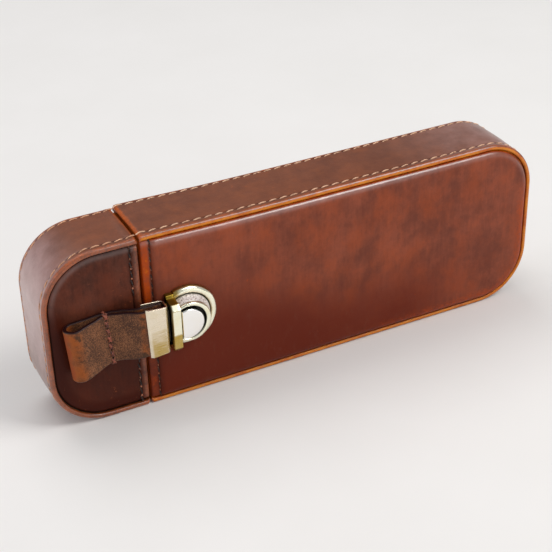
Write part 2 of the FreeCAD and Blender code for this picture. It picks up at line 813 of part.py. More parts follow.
def strap_path():
    """Middle line of the folded strap seen from above: both ends lie in the metal end."""
    half = number("strap_leather") / 2
    gap = number("glue_line")
    panel = number("board_face + cap_panel_leather") + gap / 2
    under = panel + half
    pinched = under + 2 * half + gap
    top = number("half_depth + strap_bulge") - half
    inner = number("half_depth + clip_lift + clip_plate") + gap / 2 + half
    outer = number("half_depth + clip_lift + clip_depth - clip_plate") - gap / 2 - half
    tip = number("clip_right - clip_plate") - gap
    mouth = number("clip_left") - 2 * half
    stitch = number("seam_x - strap_stitch")
    fold = number("seam_x - strap_fold") + half + (top - under) / 2
    land = number("strap_land") / 2
    corners = [
        (tip, inner), (mouth, inner), (stitch + number("strap_rise"), under), (fold, under),
        (fold, top), (stitch - number("strap_shoulder"), top), (stitch - land, pinched),
        (stitch + land, pinched), (mouth - half, outer), (tip, outer),
    ]
    return [FreeCAD.Vector(x, -y, 0) for x, y in corners]


def strap_runs(points, bend, fold):
    """Straight runs joined by tangent arcs, as the points that each passes through.

    The corner numbered fold and the next one are the two ends of a half turn.
    """
    runs = []
    start = points[0]
    for i in range(1, len(points) - 1):
        before, corner, after = points[i - 1], points[i], points[i + 1]
        if i == fold:
            half_turn = (corner - before).normalize() * ((after - corner).Length / 2)
            runs.append((start, corner))
            runs.append((corner, (corner + after) * 0.5 + half_turn, after))
            start = after
        elif i != fold + 1:
            into = (before - corner).normalize()
            out = (after - corner).normalize()
            turn = math.pi - into.getAngle(out)
            trim = bend * math.tan(turn / 2)
            reach = bend / math.cos(turn / 2) - bend
            first = corner + into * trim
            last = corner + out * trim
            runs.append((start, first))
            runs.append((first, corner + (into + out).normalize() * reach, last))
            start = last
    runs.append((start, points[-1]))
    return runs


def beside(run, shift):
    """A run's own line or arc, moved to its left by the shift."""
    if len(run) == 2:
        ahead = run[1] - run[0]
        left = FreeCAD.Vector(-ahead.y, ahead.x, 0).normalize() * shift
        return Part.makeLine(run[0] + left, run[1] + left)
    centre = Part.Arc(*run).toShape().Curve.Center
    turns_left = (run[1] - run[0]).cross(run[2] - run[1]).z > 0
    grow = -shift if turns_left else shift
    moved = [centre + (spot - centre) * (1 + grow / (spot - centre).Length) for spot in run]
    return Part.Arc(*moved).toShape()


def strap_sides(depth):
    """Block that trims the strap: wide and hanging a little at the fold, narrow at the clip."""
    middle = number("mid_z")
    far = number("seam_x - strap_fold") - 1
    near = number("clip_left")
    tip = number("clip_right")
    wide, narrow = number("strap_width / 2"), number("strap_neck / 2")
    low = middle - number("strap_drop")
    corners = [(far, low - wide), (near, middle - narrow), (tip, middle - narrow),
               (tip, middle + narrow), (near, middle + narrow), (far, low + wide)]
    points = [FreeCAD.Vector(x, 0, z) for x, z in corners]
    face = Part.Face(Part.makePolygon(points + points[:1]))
    return face.extrude(FreeCAD.Vector(0, -depth, 0))


def strap():
    """Leather strap folded into a pull loop, stitched to the cap and held by the metal end."""
    points = strap_path()
    half = number("strap_leather") / 2
    runs = strap_runs(points, number("strap_bend"), 3)
    sides = [[beside(run, way * half) for run in runs] for way in (1, -1)]
    across = FreeCAD.Vector(0, half, 0)
    ends = [Part.makeLine(spot - across, spot + across) for spot in (points[0], points[-1])]
    outline = Part.Wire(Part.__sortEdges__(sides[0] + sides[1] + ends))
    solid = Part.Face(outline).extrude(FreeCAD.Vector(0, 0, number("case_height")))
    solid = solid.common(strap_sides(number("case_depth")))
    for way in (1, -1):
        centre = FreeCAD.Vector(number("clip_right - pin_setback"), 0,
                                number(f"mid_z + ({way}) * pin_spread / 2"))
        hole = Part.makeCylinder(number("pin_radius + slit_gap"), number("case_depth"), centre,
                                 FreeCAD.Vector(0, -1, 0))
        solid = solid.cut(hole)
    made = doc.addObject("Part::Feature", "strap")
    made.Label = "strap"
    made.Shape = solid
    nodes.append(made)


# Pen tray
def tray_trough():
    """Open board trough that slides in the body."""
    made = piece("tray_trough")
    outside = sketch(made, "front")
    round_end(outside, "tray_start", "tray_end", "tray_in", "tray_round")
    pad(made, outside, "2 * tray_face", both=True)
    inside = sketch(made, "front", "tray_face")
    round_end(inside, "tray_start + tray_wall", "tray_end - tray_wall", "tray_in + tray_wall",
              "tray_round - tray_wall")
    pocket(made, inside, "tray_face + tray_floor")


def pen_bed():
    """Padded bed with one half-round channel for each pen."""
    made = piece("pen_bed")
    block = sketch(made, "front", "-tray_floor + glue_line")
    round_end(block, "tray_start + tray_wall + glue_line", "tray_end - tray_wall - glue_line",
              "bed_in", "tray_round - tray_wall - glue_line")
    pad(made, block, "tray_floor - glue_line - channel_axis")
    channel = sketch(made, "side", "tray_start")
    circle(channel, "channel_axis", "bed_in + channel_pitch / 2", "channel_radius")
    cut = pocket(made, channel, "tray_wall + glue_line + channel_length", ahead=True)
    repeat = made.newObject("PartDesign::LinearPattern", "pen_bed_channels")
    repeat.Originals = [cut]
    repeat.Direction = (channel, ["V_Axis"])
    repeat.setExpression("Length", cells("channel_pitch * (channel_count - 1)"))
    repeat.setExpression("Occurrences", cells("channel_count"))
    made.Tip = repeat
    doc.recompute()


def pull_tab():
    """Leather tab glued to the tray's end, with a tongue to pull it out by."""
    made = piece("pull_tab")
    drawing = sketch(made, "top", "mid_z")
    wall = "tray_start - glue_line"
    polygon(drawing, [
        (wall, "-tab_leather / 2"),
        (wall, "tab_foot"),
        (f"{wall} - tab_leather", "tab_foot"),
        (f"{wall} - tab_leather", "tab_leather / 2"),
        (f"{wall} - tab_reach", "tab_leather / 2"),
        (f"{wall} - tab_reach", "-tab_leather / 2"),
    ])
    pad(made, drawing, "tab_width", both=True)
    tip = number(f"{wall} - tab_reach")
    low, high = number("mid_z - tab_width / 2"), number("mid_z + tab_width / 2")
    soften(made, "tab_round",
           lambda edge: flat_at(edge, x=tip, z=low) or flat_at(edge, x=tip, z=high))


def check_and_write():
    """Stop on any failed feature or bad shape, then write one file for each piece."""
    for item in doc.Objects:
        if {"Invalid", "Error"} & set(item.State):
            raise RuntimeError(f"{item.Label} has failed: {item.State}")
    os.makedirs("parts", exist_ok=True)
    for node in nodes:
        shape = node.Shape
        if shape.isNull() or not shape.isValid() or not shape.Solids:
            raise RuntimeError(f"{node.Label} has no valid solid")
        shape.exportStep(f"parts/{node.Label}.step")
        print(f"{node.Label}: {len(shape.Solids)} solid(s), {shape.Volume:.0f} mm3")


doc = FreeCAD.newDocument("PenCase")
sheet = fill_sheet()

side_band("body_side_band", "body_mouth", "end_x", "body_rim")
shell = board_shell("body_board_shell", "body_mouth", "end_x")
recess = sketch(shell, "front", "board_face - board_thickness + washer_recess")
washer_outline(recess, "slit_gap")
pocket(shell, recess, "washer_recess")
prong_slits(shell, "board_face", "board_thickness")
lining("body_lining", "body_mouth + collar_seat - seam_gap / 2 + glue_line", "end_x")
mouth_facing("body_mouth_facing", "body_mouth")
mouth_collar()
body_front_panel()
body_front_padding()
back_panel("body_back_panel", "seam_x + hinge_width / 2 + inlay_gap", "end_x", 1, "body_rim")
hinge_strip()

side_band("cap_side_band", "cap_mouth", "cap_end_x", "cap_rim")
board_shell("cap_board_shell", "cap_mouth", "cap_end_x")
lining("cap_lining", "seam_x - lining_start", "cap_end_x")
mouth_facing("cap_mouth_facing", "cap_mouth - facing_leather")
cap_front_panel()
back_panel("cap_back_panel", "seam_x - hinge_width / 2 - inlay_gap", "cap_end_x", -1,
           "cap_rim")

lock_case()
lock_base()
lock_backplate()
lock_button()
lock_catch()
lock_spring()

strap_clip()
clip_pins()
strap()

tray_trough()
pen_bed()
pull_tab()

doc.recompute()
check_and_write()
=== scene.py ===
# %% [markdown]
# # A hard leather pen case with a hinged cap and a tuck lock
#
# The real case is a stiff board box wrapped in waxed leather. A band runs round its edge and is
# turned over as a rim, a padded panel fills the front, and a short cap swings on a leather
# strip at the back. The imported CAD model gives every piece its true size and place. This
# notebook dresses it: leather that swells and folds, thread, burnished edges and old brass.

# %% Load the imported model
import math

import bmesh
import bpy
import numpy as np
from mathutils import Matrix, Vector


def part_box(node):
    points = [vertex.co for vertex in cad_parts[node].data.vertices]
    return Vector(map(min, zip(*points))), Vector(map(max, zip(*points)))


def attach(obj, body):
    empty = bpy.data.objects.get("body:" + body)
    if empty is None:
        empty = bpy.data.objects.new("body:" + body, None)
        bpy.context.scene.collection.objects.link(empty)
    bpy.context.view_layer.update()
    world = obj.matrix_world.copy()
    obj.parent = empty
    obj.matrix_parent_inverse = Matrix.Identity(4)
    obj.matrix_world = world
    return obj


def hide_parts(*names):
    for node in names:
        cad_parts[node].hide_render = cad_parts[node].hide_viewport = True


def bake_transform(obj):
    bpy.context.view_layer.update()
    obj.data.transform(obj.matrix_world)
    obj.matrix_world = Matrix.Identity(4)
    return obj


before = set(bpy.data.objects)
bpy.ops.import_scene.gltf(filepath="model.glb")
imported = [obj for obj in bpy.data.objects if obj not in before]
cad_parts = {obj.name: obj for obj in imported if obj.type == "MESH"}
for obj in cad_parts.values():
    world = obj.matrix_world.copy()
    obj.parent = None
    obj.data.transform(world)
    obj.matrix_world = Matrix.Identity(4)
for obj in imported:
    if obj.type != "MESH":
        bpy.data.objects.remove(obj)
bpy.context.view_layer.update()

# %% [markdown]
# ## Sizes
#
# All shapes below are worked out in millimetres and written as metres at the very end. The
# main places are read from the boxes of the CAD nodes, so the dressed pieces stay where the
# model puts them. "Lift" is the distance from the case's middle plane, to the front or back.

# %% Read the main places
MM = 0.001


def node_box(node):
    """Lowest and highest corner of a CAD node, in millimetres."""
    low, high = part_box(node)
    return low / MM, high / MM


body_low, body_high = node_box("body_side_band")
cap_low, cap_high = node_box("cap_side_band")
panel_low, panel_high = node_box("body_front_panel")
cap_panel_low = node_box("cap_front_panel")[0]
strip_low, strip_high = node_box("hinge_strip")
strap_low, strap_high = node_box("strap")
clip_low, clip_high = node_box("strap_clip")
lock_low = node_box("lock_case")[0]
button_low, button_high = node_box("lock_button")
bed_low, bed_high = node_box("pen_bed")

body_mouth, body_end = body_low.x, body_high.x
cap_mouth, cap_end = cap_high.x, cap_low.x
seam_x = (body_mouth + cap_mouth) / 2
height = body_high.z
middle_z = height / 2
rim_lift = body_high.y
crest = -panel_low.y
board_face = -panel_high.y
corner_radius = 22.0
body_rim, cap_rim = 1.85, 1.95      # width of the turned rims, seen from the front
band_leather = 1.6
print(f"seam {seam_x:.1f}, rims {rim_lift:.1f}, crest {crest:.1f}, inset {panel_low.z:.2f}")

# %% [markdown]
# ## Making meshes
#
# Leather pieces are grids of points, so a NumPy array of rows and columns describes them well.
# Modifiers could thicken and round a plain sheet, but they treat every edge alike, and here
# each edge has its own curve. These helpers turn a grid into a mesh, close it, give it smooth
# shading up to a chosen crease angle, and store masks such as wear as attributes that the
# materials read.


# %% Mesh helpers
def new_object(name, mesh, body, replaced=(), crease=40.0):
    """Put a finished mesh into the scene on its body, and hide the nodes that it replaces."""
    mesh.shade_smooth()
    mesh.set_sharp_from_angle(angle=math.radians(crease))
    made = bpy.data.objects.new(name, mesh)
    bpy.context.scene.collection.objects.link(made)
    if replaced:
        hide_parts(*replaced)
    if body:
        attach(made, body)
    print(f"{name}: {len(mesh.polygons)} faces, instead of {', '.join(replaced) or 'nothing'}")
    return made


# %% Grids of points
def grid_faces(rows, columns, wrap=False, start=0):
    """Quads between neighbouring rows and columns of a grid of points."""
    last = columns if wrap else columns - 1
    faces = []
    for i in range(rows - 1):
        for j in range(last):
            k = (j + 1) % columns
            near, far = start + i * columns, start + (i + 1) * columns
            faces.append((near + j, near + k, far + k, far + j))
    return faces


def build_mesh(name, points, faces, masks=None):
    """A mesh in metres from points in millimetres, with one float attribute for each mask."""
    mesh = bpy.data.meshes.new(name)
    mesh.from_pydata((np.asarray(points, float).reshape(-1, 3) * MM).tolist(), [], faces)
    for key, values in (masks or {}).items():
        layer = mesh.attributes.new(key, "FLOAT", "POINT")
        layer.data.foreach_set("value", np.asarray(values, np.float32).ravel())
    return mesh


# %% Closing and bevelling
def tidy_mesh(mesh, merge=0.002, close_at=None):
    """Weld doubles, close an open sheet at a given y, and point the faces outwards."""
    work = bmesh.new()
    work.from_mesh(mesh)
    bmesh.ops.remove_doubles(work, verts=work.verts, dist=merge * MM)
    if close_at is not None:
        rim = [edge for edge in work.edges if edge.is_boundary]
        made = bmesh.ops.extrude_edge_only(work, edges=rim)["geom"]
        for vert in (item for item in made if isinstance(item, bmesh.types.BMVert)):
            vert.co.y = close_at * MM
        loop = [edge for edge in work.edges if edge.is_boundary]
        bmesh.ops.edgeloop_fill(work, edges=loop)
    bmesh.ops.recalc_face_normals(work, faces=work.faces)
    work.to_mesh(mesh)
    work.free()
    return mesh


def swept_mesh(name, points, masks=None):
    """A closed tube from a grid of points whose rows are closed sections."""
    rows, columns = points.shape[:2]
    faces = grid_faces(rows, columns, wrap=True)
    faces.append(tuple(range(columns)))
    faces.append(tuple((rows - 1) * columns + j for j in range(columns)))
    return tidy_mesh(build_mesh(name, points, faces, masks))


def bevelled(mesh, width, segments=2, angle=30.0):
    """Round the sharp edges of a mesh with a real bevel."""
    work = bmesh.new()
    work.from_mesh(mesh)
    sharp = [edge for edge in work.edges
             if len(edge.link_faces) == 2 and edge.calc_face_angle(0) > math.radians(angle)]
    bmesh.ops.bevel(work, geom=sharp, offset=width * MM, segments=segments, profile=0.5,
                    affect="EDGES", clamp_overlap=True)
    work.to_mesh(mesh)
    work.free()
    return mesh


# %% Curves for heights and masks
def smooth_step(value, low, high):
    """0 below low, 1 above high, with an easy curve between."""
    share = np.clip((np.asarray(value, float) - low) / (high - low), 0, 1)
    return share * share * (3 - 2 * share)


def shoulder(value, width):
    """A quarter-round rise from 0 to 1 over the width."""
    share = np.clip(np.asarray(value, float) / width, 0, 1)
    return np.sqrt(np.clip(1 - (1 - share) ** 2, 0, 1))


def bump(value, centre, spread):
    """A soft hill of height 1."""
    return np.exp(-((np.asarray(value, float) - centre) / spread) ** 2)


# %% [markdown]
# ## The case's outline
#
# Seen from the front each half is square at the mouth and round at its far end. The same
# outline, moved inwards, gives the band, the rims, the panels and the stitch rows. A Bezier
# curve could draw it, but the walked length is needed too, to place the stitches, so one
# function returns the points, the inward direction and that length. The body of the real case
# also swells a little next to its mouth, which `swell` adds to every leather piece.


# %% Outline
def outline(mouth, end, inset, radius, step):
    """Points x, z, the inward direction and the walked length of the D-shaped outline."""
    way = 1.0 if end > mouth else -1.0
    straight = abs(end - mouth) - radius
    side = height - 2 * inset - 2 * radius
    arc_length = math.pi / 2 * radius
    lengths = [straight, arc_length, side, arc_length, straight]
    spots = []
    walked = 0.0
    for part, length in enumerate(lengths):
        count = max(2, round(length / step))
        shares = np.arange(count) / count
        if part == len(lengths) - 1:
            shares = np.append(shares, 1.0)
        for share in shares:
            spots.append((part, share, walked + share * length))
        walked += length
    result = []
    for part, share, length in spots:
        turn = share * math.pi / 2
        if part == 0:
            x, z, dx, dz = mouth + way * share * straight, inset, 0, 1
        elif part == 1:
            dx, dz = -way * math.sin(turn), math.cos(turn)
            x, z = end - way * radius - radius * dx, inset + radius - radius * dz
        elif part == 2:
            x, z, dx, dz = end, inset + radius + share * side, -way, 0
        elif part == 3:
            dx, dz = -way * math.cos(turn), -math.sin(turn)
            x, z = end - way * radius - radius * dx, height - inset - radius - radius * dz
        else:
            x, z = end - way * radius - way * share * straight, height - inset
            dx, dz = 0, -1
        result.append((x, z, dx, dz, length))
    return np.array(result)


# %% Swell next to the mouth
mouth_rise = 0.7        # how far the body's top stands up next to the mouth
mouth_deepening = 0.6   # how far its back stands out there
swell_length = 30.0


def swell(points, body):
    """The body's leather stands a little taller and deeper next to its mouth."""
    if body != "case_body":
        return points
    moved = np.array(points, float)
    near = bump(moved[..., 0], body_mouth, swell_length)
    high = np.clip(moved[..., 2] / height, 0, 1.1) ** 3
    back = np.clip(moved[..., 1] / rim_lift, 0, 1.1) ** 2
    moved[..., 2] += mouth_rise * near * high
    moved[..., 1] += mouth_deepening * near * back
    return moved


# %% [markdown]
# ## The band round the edge
#
# One long strip of leather is wrapped round the board and turned over the front and back as rounded
# rims. A row of stitches runs behind each rim and pulls the leather into a shallow valley, deepest
# where the needle went in. A strip with a Solidify modifier would have the same round on every
# edge, so the mesh sweeps a C-shaped section round the outline instead. The masks record where the
# leather is worn orange and where hands polish it, where shade is painted into the valleys, the
# groove beside the rims and the band's inside, and where a pale sheen is painted on its far ends.

# %% Band sizes
stitch_pitch = 4.4
front_row = 3.0         # distance of the front stitch row from the front of the rim
back_row = 1.9
row_start = 1.5         # first stitch's distance from the mouth
valley_depth = 0.22
valley_reach = 1.2      # the mesh is finer this far on both sides of a row
rim_round = 1.1
lip_round = 0.7
mouth_roll = 0.5        # round of the leather's edge at the mouth
band_fullness = 0.22    # how far the leather stands out between the rims
full_reach = 10.5       # that fullness ends this far from the middle plane
mouth_fullness = 0.28   # and how far it stands out just behind the mouth
on_crown = 0.01         # a section's point less deep than this is on the band's outside
squeeze_from = 10.0     # beyond this lift the mouth's edge also rolls towards the middle
BAND_MARKS = {          # how strong the gilt rims, the rubbed mouth and the painted shade in the groove beside the rims are
    "case_body": (0.9, 0.6, 0.3),
    "cap": (0.35, 0.45, 0.6),
}
print(f"stitches every {stitch_pitch} mm, {front_row} and {back_row} mm from the rims' faces")


# %% Section of the band
def band_section(rim_width):
    """Points (y, inset) round the C-shaped section and whether each lies on the outside."""
    section = [(-rim_lift + rim_round - rim_round * math.cos(turn),
                rim_round - rim_round * math.sin(turn), 1)
               for turn in np.linspace(0, math.pi / 2, 8)]
    inner_front, inner_back = -rim_lift + rim_round, rim_lift - rim_round
    rows = (-rim_lift + front_row, rim_lift - back_row)
    across = set(np.round(np.linspace(inner_front, inner_back, 24), 3))
    for row in rows:
        across |= set(np.round(row + np.linspace(-valley_reach, valley_reach, 11), 3))
    across = sorted(value for value in across if inner_front < value < inner_back)
    section += [(value, 0.0, 1) for value in across]
    section += [(rim_lift - rim_round + rim_round * math.sin(turn),
                 rim_round - rim_round * math.cos(turn), 1)
                for turn in np.linspace(0, math.pi / 2, 8)]
    lip = [(rim_lift - lip_round + lip_round * math.cos(turn),
            rim_width - lip_round + lip_round * math.sin(turn), 1)
           for turn in np.linspace(0, math.pi / 2, 6)]
    inside = rim_lift - band_leather
    section += lip
    section += [(inside, rim_width, 0), (inside, band_leather, 0),
                (-inside, band_leather, 0), (-inside, rim_width, 0)]
    section += [(-value, depth, flag) for value, depth, flag in reversed(lip)]
    return np.array(section)


# %% Swell and valleys of the band
def row_valley(y, walked, total):
    """Depth of the two valleys that the stitches pull, deepest at the needle holes."""
    start = walked - row_start
    ripple = 0.75 - 0.25 * np.cos(2 * math.pi * start / stitch_pitch)
    ends = smooth_step(walked, 0.6, 2.0) * smooth_step(total - walked, 0.6, 2.0)
    front = bump(y, -rim_lift + front_row, 0.5)
    back = bump(y, rim_lift - back_row, 0.42)
    return valley_depth * ripple * ends * (front + back)


def crown_inset(y, walked, to_mouth, total, downwards):
    """How far the band's outside lies inside its outline: full leather less the valleys."""
    full = band_fullness * np.cos(np.clip(y / full_reach, -1, 1) * math.pi / 2)
    mouth_bulge = mouth_fullness * bump(to_mouth, 1.9, 1.3)
    return row_valley(y, walked, total) - (full + mouth_bulge) * (1 - downwards)


# %% Marks on the band
def band_marks(body, rim_width, path, section, y):
    """Gilt rims, rubbed mouth, painted shade in the valleys, beside the rims and inside, polish,
    and a painted pale sheen on the far ends.
    """
    gilding, mouth_rub, groove_shade = BAND_MARKS[body]
    depth, outside = section[None, :, 1], section[None, :, 2]
    total, walked = path[-1, 4], path[:, 4][:, None]
    to_mouth = np.minimum(walked, total - walked)
    on_face = smooth_step(np.abs(y), rim_lift - 0.9, rim_lift - 0.3)
    gilt = gilding * on_face * smooth_step(depth, 0.3, 0.7)
    bead = 0.4 * bump(np.abs(y), rim_lift - 0.7, 1.0)
    mouth_wear = mouth_rub * bump(to_mouth, 0.4, 1.1)
    wear = np.clip(np.maximum(np.maximum(gilt, bead), mouth_wear), 0, 1)
    # Painted shade in the stitch valleys, in the groove beside the rims and on the band's inside
    # faces.
    valleys = np.clip(row_valley(y, walked, total) / valley_depth * 0.8, 0, 1)
    crevice = groove_shade * on_face * smooth_step(depth, rim_width - 0.2, rim_width - 0.05)
    dark = np.maximum(valleys, np.maximum(crevice, 1 - outside))
    crown = outside * (depth < on_crown)
    far = smooth_step(np.abs(path[:, 2]), 0.1, 0.9)[:, None] * crown
    # A pale painted sheen over the cap's round end and the body's far end.
    if body == "cap":
        polish = 0.1 + 0.9 * far
        painted_sheen = 0.6 * far * (1 - wear) * smooth_step(path[:, 1], 6, 40)[:, None]
    else:
        right_end = smooth_step(path[:, 0], 30, 95)[:, None]
        polish = 0.1 + 0.6 * np.maximum(right_end, far)
        painted_sheen = 0.28 * right_end * crown
    polish = np.maximum(polish, 0.9 * bump(np.abs(y), rim_lift - 0.35, 0.5))
    return {"wear": wear, "dark": dark, "polish": polish, "painted_light": painted_sheen}


# %% Sweep the bands
def band_mesh(name, mouth, end, body, rim_width):
    """The whole band of one half of the case."""
    path = outline(mouth, end, 0.0, corner_radius, stitch_pitch / 6)
    section = band_section(rim_width)
    y = np.repeat(section[None, :, 0], len(path), 0)
    depth, outside = section[None, :, 1], section[None, :, 2]
    total, walked = path[-1, 4], path[:, 4][:, None]
    to_mouth = np.minimum(walked, total - walked)
    roll = mouth_roll * (1 - shoulder(to_mouth, mouth_roll))
    downwards = smooth_step(path[:, 3], 0.6, 0.95)[:, None]
    crown = outside * (depth < on_crown)
    inset = depth + outside * roll
    inset = inset + crown * crown_inset(y, walked, to_mouth, total, downwards)
    share = np.clip((np.abs(y) - squeeze_from) / (rim_lift - squeeze_from), 0, 1)
    y = y - np.sign(y) * outside * roll * share
    points = np.stack([path[:, 0][:, None] + path[:, 2][:, None] * inset, y,
                       path[:, 1][:, None] + path[:, 3][:, None] * inset], -1)
    return swept_mesh(name, swell(points, body), band_marks(body, rim_width, path, section, y))


for name, body, mouth, end, rim_width, node in (
    ("body_band", "case_body", body_mouth, body_end, body_rim, "body_side_band"),
    ("cap_band", "cap", cap_mouth, cap_end, cap_rim, "cap_side_band"),
):
    new_object(name, band_mesh(name, mouth, end, body, rim_width), body, [node])

# %% [markdown]
# ## The leather panels
#
# The panels fill the faces inside the rims. A panel is a sheet whose height depends only on the
# distance from its outline and from the mouth, so its mesh follows the outline: strips along
# the edges, fans in the round corners and a plain grid in the middle. Cloth simulation could
# swell the padding, but this leather is glued down tight and only its shoulder is round, which
# a height function gives exactly. The body's front is padded, with that shoulder beside the
# groove.


# %% Panel builder
def spaced(start, stop, fine, coarse, reach):
    """Distances from start to stop, closely spaced next to start and wider beyond a reach."""
    near = list(np.arange(0, reach, fine))
    far = list(np.linspace(reach, abs(stop - start),
                           max(2, round((abs(stop - start) - reach) / coarse))))
    way = 1 if stop > start else -1
    return start + way * np.array(near + far)


# %% Panel mesh
def panel_mesh(name, mouth, end, inset, side, lift, masks, body):
    """A panel with its own height and masks as functions of x, z, edge and mouth distance."""
    way = 1.0 if end > mouth else -1.0
    radius = corner_radius - inset
    centre_x = end - way * radius
    depths = np.concatenate([np.arange(0, 4.0, 0.2), np.linspace(4.0, radius, 9)])
    xs = spaced(mouth, centre_x, 0.25, 2.2, min(7.0, abs(centre_x - mouth) / 2))
    zs = np.linspace(inset + radius, height - inset - radius, 14)
    turns = np.linspace(0, math.pi / 2, 22)
    strip_x, strip_depth = np.meshgrid(xs, depths, indexing="ij")
    end_z, end_depth = np.meshgrid(zs, depths, indexing="ij")
    inner_x, inner_z = np.meshgrid(xs, zs, indexing="ij")
    angle, fan_depth = np.meshgrid(turns, depths, indexing="ij")
    fan_x = centre_x + way * (radius - fan_depth) * np.sin(angle)
    fan_z = inset + radius - (radius - fan_depth) * np.cos(angle)
    sheets = ((strip_x, inset + strip_depth, strip_depth),
              (strip_x, height - inset - strip_depth, strip_depth),
              (end - way * end_depth, end_z, end_depth),
              (inner_x, inner_z, np.full_like(inner_x, radius)),
              (fan_x, fan_z, fan_depth), (fan_x, height - fan_z, fan_depth))
    points, faces, mask_values = [], [], {key: [] for key in masks}
    for x, z, edge in sheets:
        rows, columns = x.shape
        faces += grid_faces(rows, columns, start=len(points))
        from_mouth = np.abs(x - mouth)
        y = side * lift(x, z, edge, from_mouth)
        points += np.stack([x, y, z], -1).reshape(-1, 3).tolist()
        for key, mask in masks.items():
            values = np.broadcast_to(mask(x, z, edge, from_mouth), x.shape)
            mask_values[key] += values.ravel().tolist()
    mesh = build_mesh(name, swell(np.array(points), body), faces, mask_values)
    return tidy_mesh(mesh, close_at=side * board_face)


# %% Shape of the body's front
groove = 0.3            # width of the groove's floor inside the panel's edge
groove_lift = board_face + 0.45
shoulder_width = 3.0
strip_width = 3.6       # flat strip between the mouth and the stitch row
strip_lift = board_face + 1.25
strip_round, row_round, mouth_round = 1.5, 2.2, 0.7     # at the groove, the row and the mouth
front_crown, front_wave = 0.3, 0.05     # how far the padding swells, and how unevenly
front_pull, cap_pull, hinge_pull = 0.3, 0.2, 0.2        # how deep stitches pull the leather in
front_row_pitch = 3.7


def row_ripple(z):
    """A row's valley is deepest at the needle holes, between two stitches."""
    return 0.7 - 0.3 * np.cos(2 * math.pi * (z - middle_z) / front_row_pitch)


def body_front_lift(x, z, edge, from_mouth):
    """Padded front: groove, round shoulder, flat strip at the mouth and a soft crown."""
    strip = (strip_lift - groove_lift) * shoulder(edge - groove, strip_round)
    padded = shoulder(edge - groove, shoulder_width)
    padded = padded * shoulder(from_mouth - strip_width, row_round)
    crown = front_crown * (1 - np.exp(-np.clip(edge, 0, 40) / 9)) * smooth_step(from_mouth, 4, 20)
    wave = front_wave * np.sin(x / 13.0 + 1.0) * np.cos(z / 9.0) * smooth_step(edge, 3, 10)
    face = (crest - strip_lift) * padded + (crown + wave) * smooth_step(from_mouth, 6, 30)
    valley = front_pull * row_ripple(z) * bump(from_mouth, strip_width, 0.55)
    rolled = mouth_round * (1 - shoulder(from_mouth, mouth_round)) * smooth_step(edge, 0.0, 0.8)
    return groove_lift + strip + face - valley * smooth_step(edge, 0.6, 1.6) - rolled


# %% Wear, painted shade and polish on the body's front
def body_front_wear(x, z, edge, from_mouth):
    """Amber round the panel's foot and low at its far end, worn orange on the mouth's strip."""
    foot = 0.85 * (1 - smooth_step(edge, 0.3, 0.9))
    rim_side = 0.4 * bump(edge, 2.0, 3.6) * smooth_step(from_mouth, 50, 140)
    rim_side = rim_side * (1 - smooth_step(z, 40, 66))
    strip_wear = 0.66 * (1 - smooth_step(from_mouth, strip_width - 1.4, strip_width - 0.2))
    golden = smooth_step(z, 24, 48) * (1 - 0.5 * smooth_step(z, 60, 72))
    strip_wear = strip_wear * (0.4 + 0.6 * golden)
    return np.clip(np.maximum(np.maximum(foot, rim_side), strip_wear), 0, 1)


def body_front_dark(x, z, edge, from_mouth):
    """Painted shade in the groove and in the thread holes."""
    holes = 0.6 * bump(from_mouth, strip_width, 0.3)
    return np.clip(np.maximum(holes, 0.2 * (1 - smooth_step(edge, 0.0, 0.4))), 0, 1)


def body_front_painted_shade(x, z, edge, from_mouth):
    """Painted shade: darker along the bottom and next to the lock."""
    below = 0.8 * (1 - smooth_step(z, 8, 44)) * (1 - smooth_step(from_mouth, 105, 160) * 0.95)
    corner = 0.6 * (1 - smooth_step(from_mouth, 24, 92)) * (1 - smooth_step(z, 24, 80))
    return np.clip((below + corner) * (0.5 + 0.5 * smooth_step(from_mouth, 3, 6)), 0, 1)


def body_front_polish(x, z, edge, from_mouth):
    """Hands polish the shoulder along the top."""
    along = 1 - 0.4 * smooth_step(from_mouth, 80, 170)
    return along * bump(edge, 1.2, 1.1) * smooth_step(z, height - 30, height - 10) + 0 * x


# %% Body's front
body_front = new_object(
    "body_front", panel_mesh("body_front", body_mouth, panel_high.x, panel_low.z, -1,
                             body_front_lift,
                             {"wear": body_front_wear, "dark": body_front_dark,
                              "painted_light": body_front_painted_shade, "polish": body_front_polish}, "case_body"),
    "case_body", ["body_front_panel", "body_front_padding"])

# %% [markdown]
# ## The front of the cap
#
# The cap's front is one thin piece of leather that lies below its rims. At the mouth its edge
# is turned over and sewn down, which leaves a narrow raised strip. It is flat and unpadded, but
# the same panel builder makes it from a lower height function, so it meets its rims as exactly
# as the body's front does.

# %% Shape of the cap's front
cap_strip = 3.0         # width of the turned strip
cap_row = 3.0           # stitch row's distance from the mouth
cap_face = 12.8
cap_groove_lift = groove_lift - 0.2
turned_height = 0.45
cap_mouth_round = 0.5


def cap_front_lift(x, z, edge, from_mouth):
    """Flat leather below the rims with a turned strip at the mouth."""
    rise = (cap_face - cap_groove_lift) * shoulder(edge - groove, 3.0)
    strip = turned_height * (1 - smooth_step(from_mouth, cap_strip - 0.5, cap_strip - 0.1))
    strip = strip * smooth_step(edge, 0.8, 1.6)
    valley = cap_pull * row_ripple(z) * bump(from_mouth, cap_row, 0.45)
    rolled = cap_mouth_round * (1 - shoulder(from_mouth, cap_mouth_round))
    return cap_groove_lift + rise + strip - valley * smooth_step(edge, 0.8, 1.8) - rolled


# %% Wear, painted shade and polish on the cap's front
def cap_front_wear(x, z, edge, from_mouth):
    """The turned strip is rubbed lighter."""
    return 0.42 * (1 - smooth_step(from_mouth, 0.6, cap_strip)) + 0 * edge


def cap_front_dark(x, z, edge, from_mouth):
    """Deep shade beside the rims and in the thread holes."""
    holes = 0.6 * bump(from_mouth, cap_row, 0.3)
    return np.clip(np.maximum(1 - smooth_step(edge, 0.15, 0.8), holes), 0, 1)


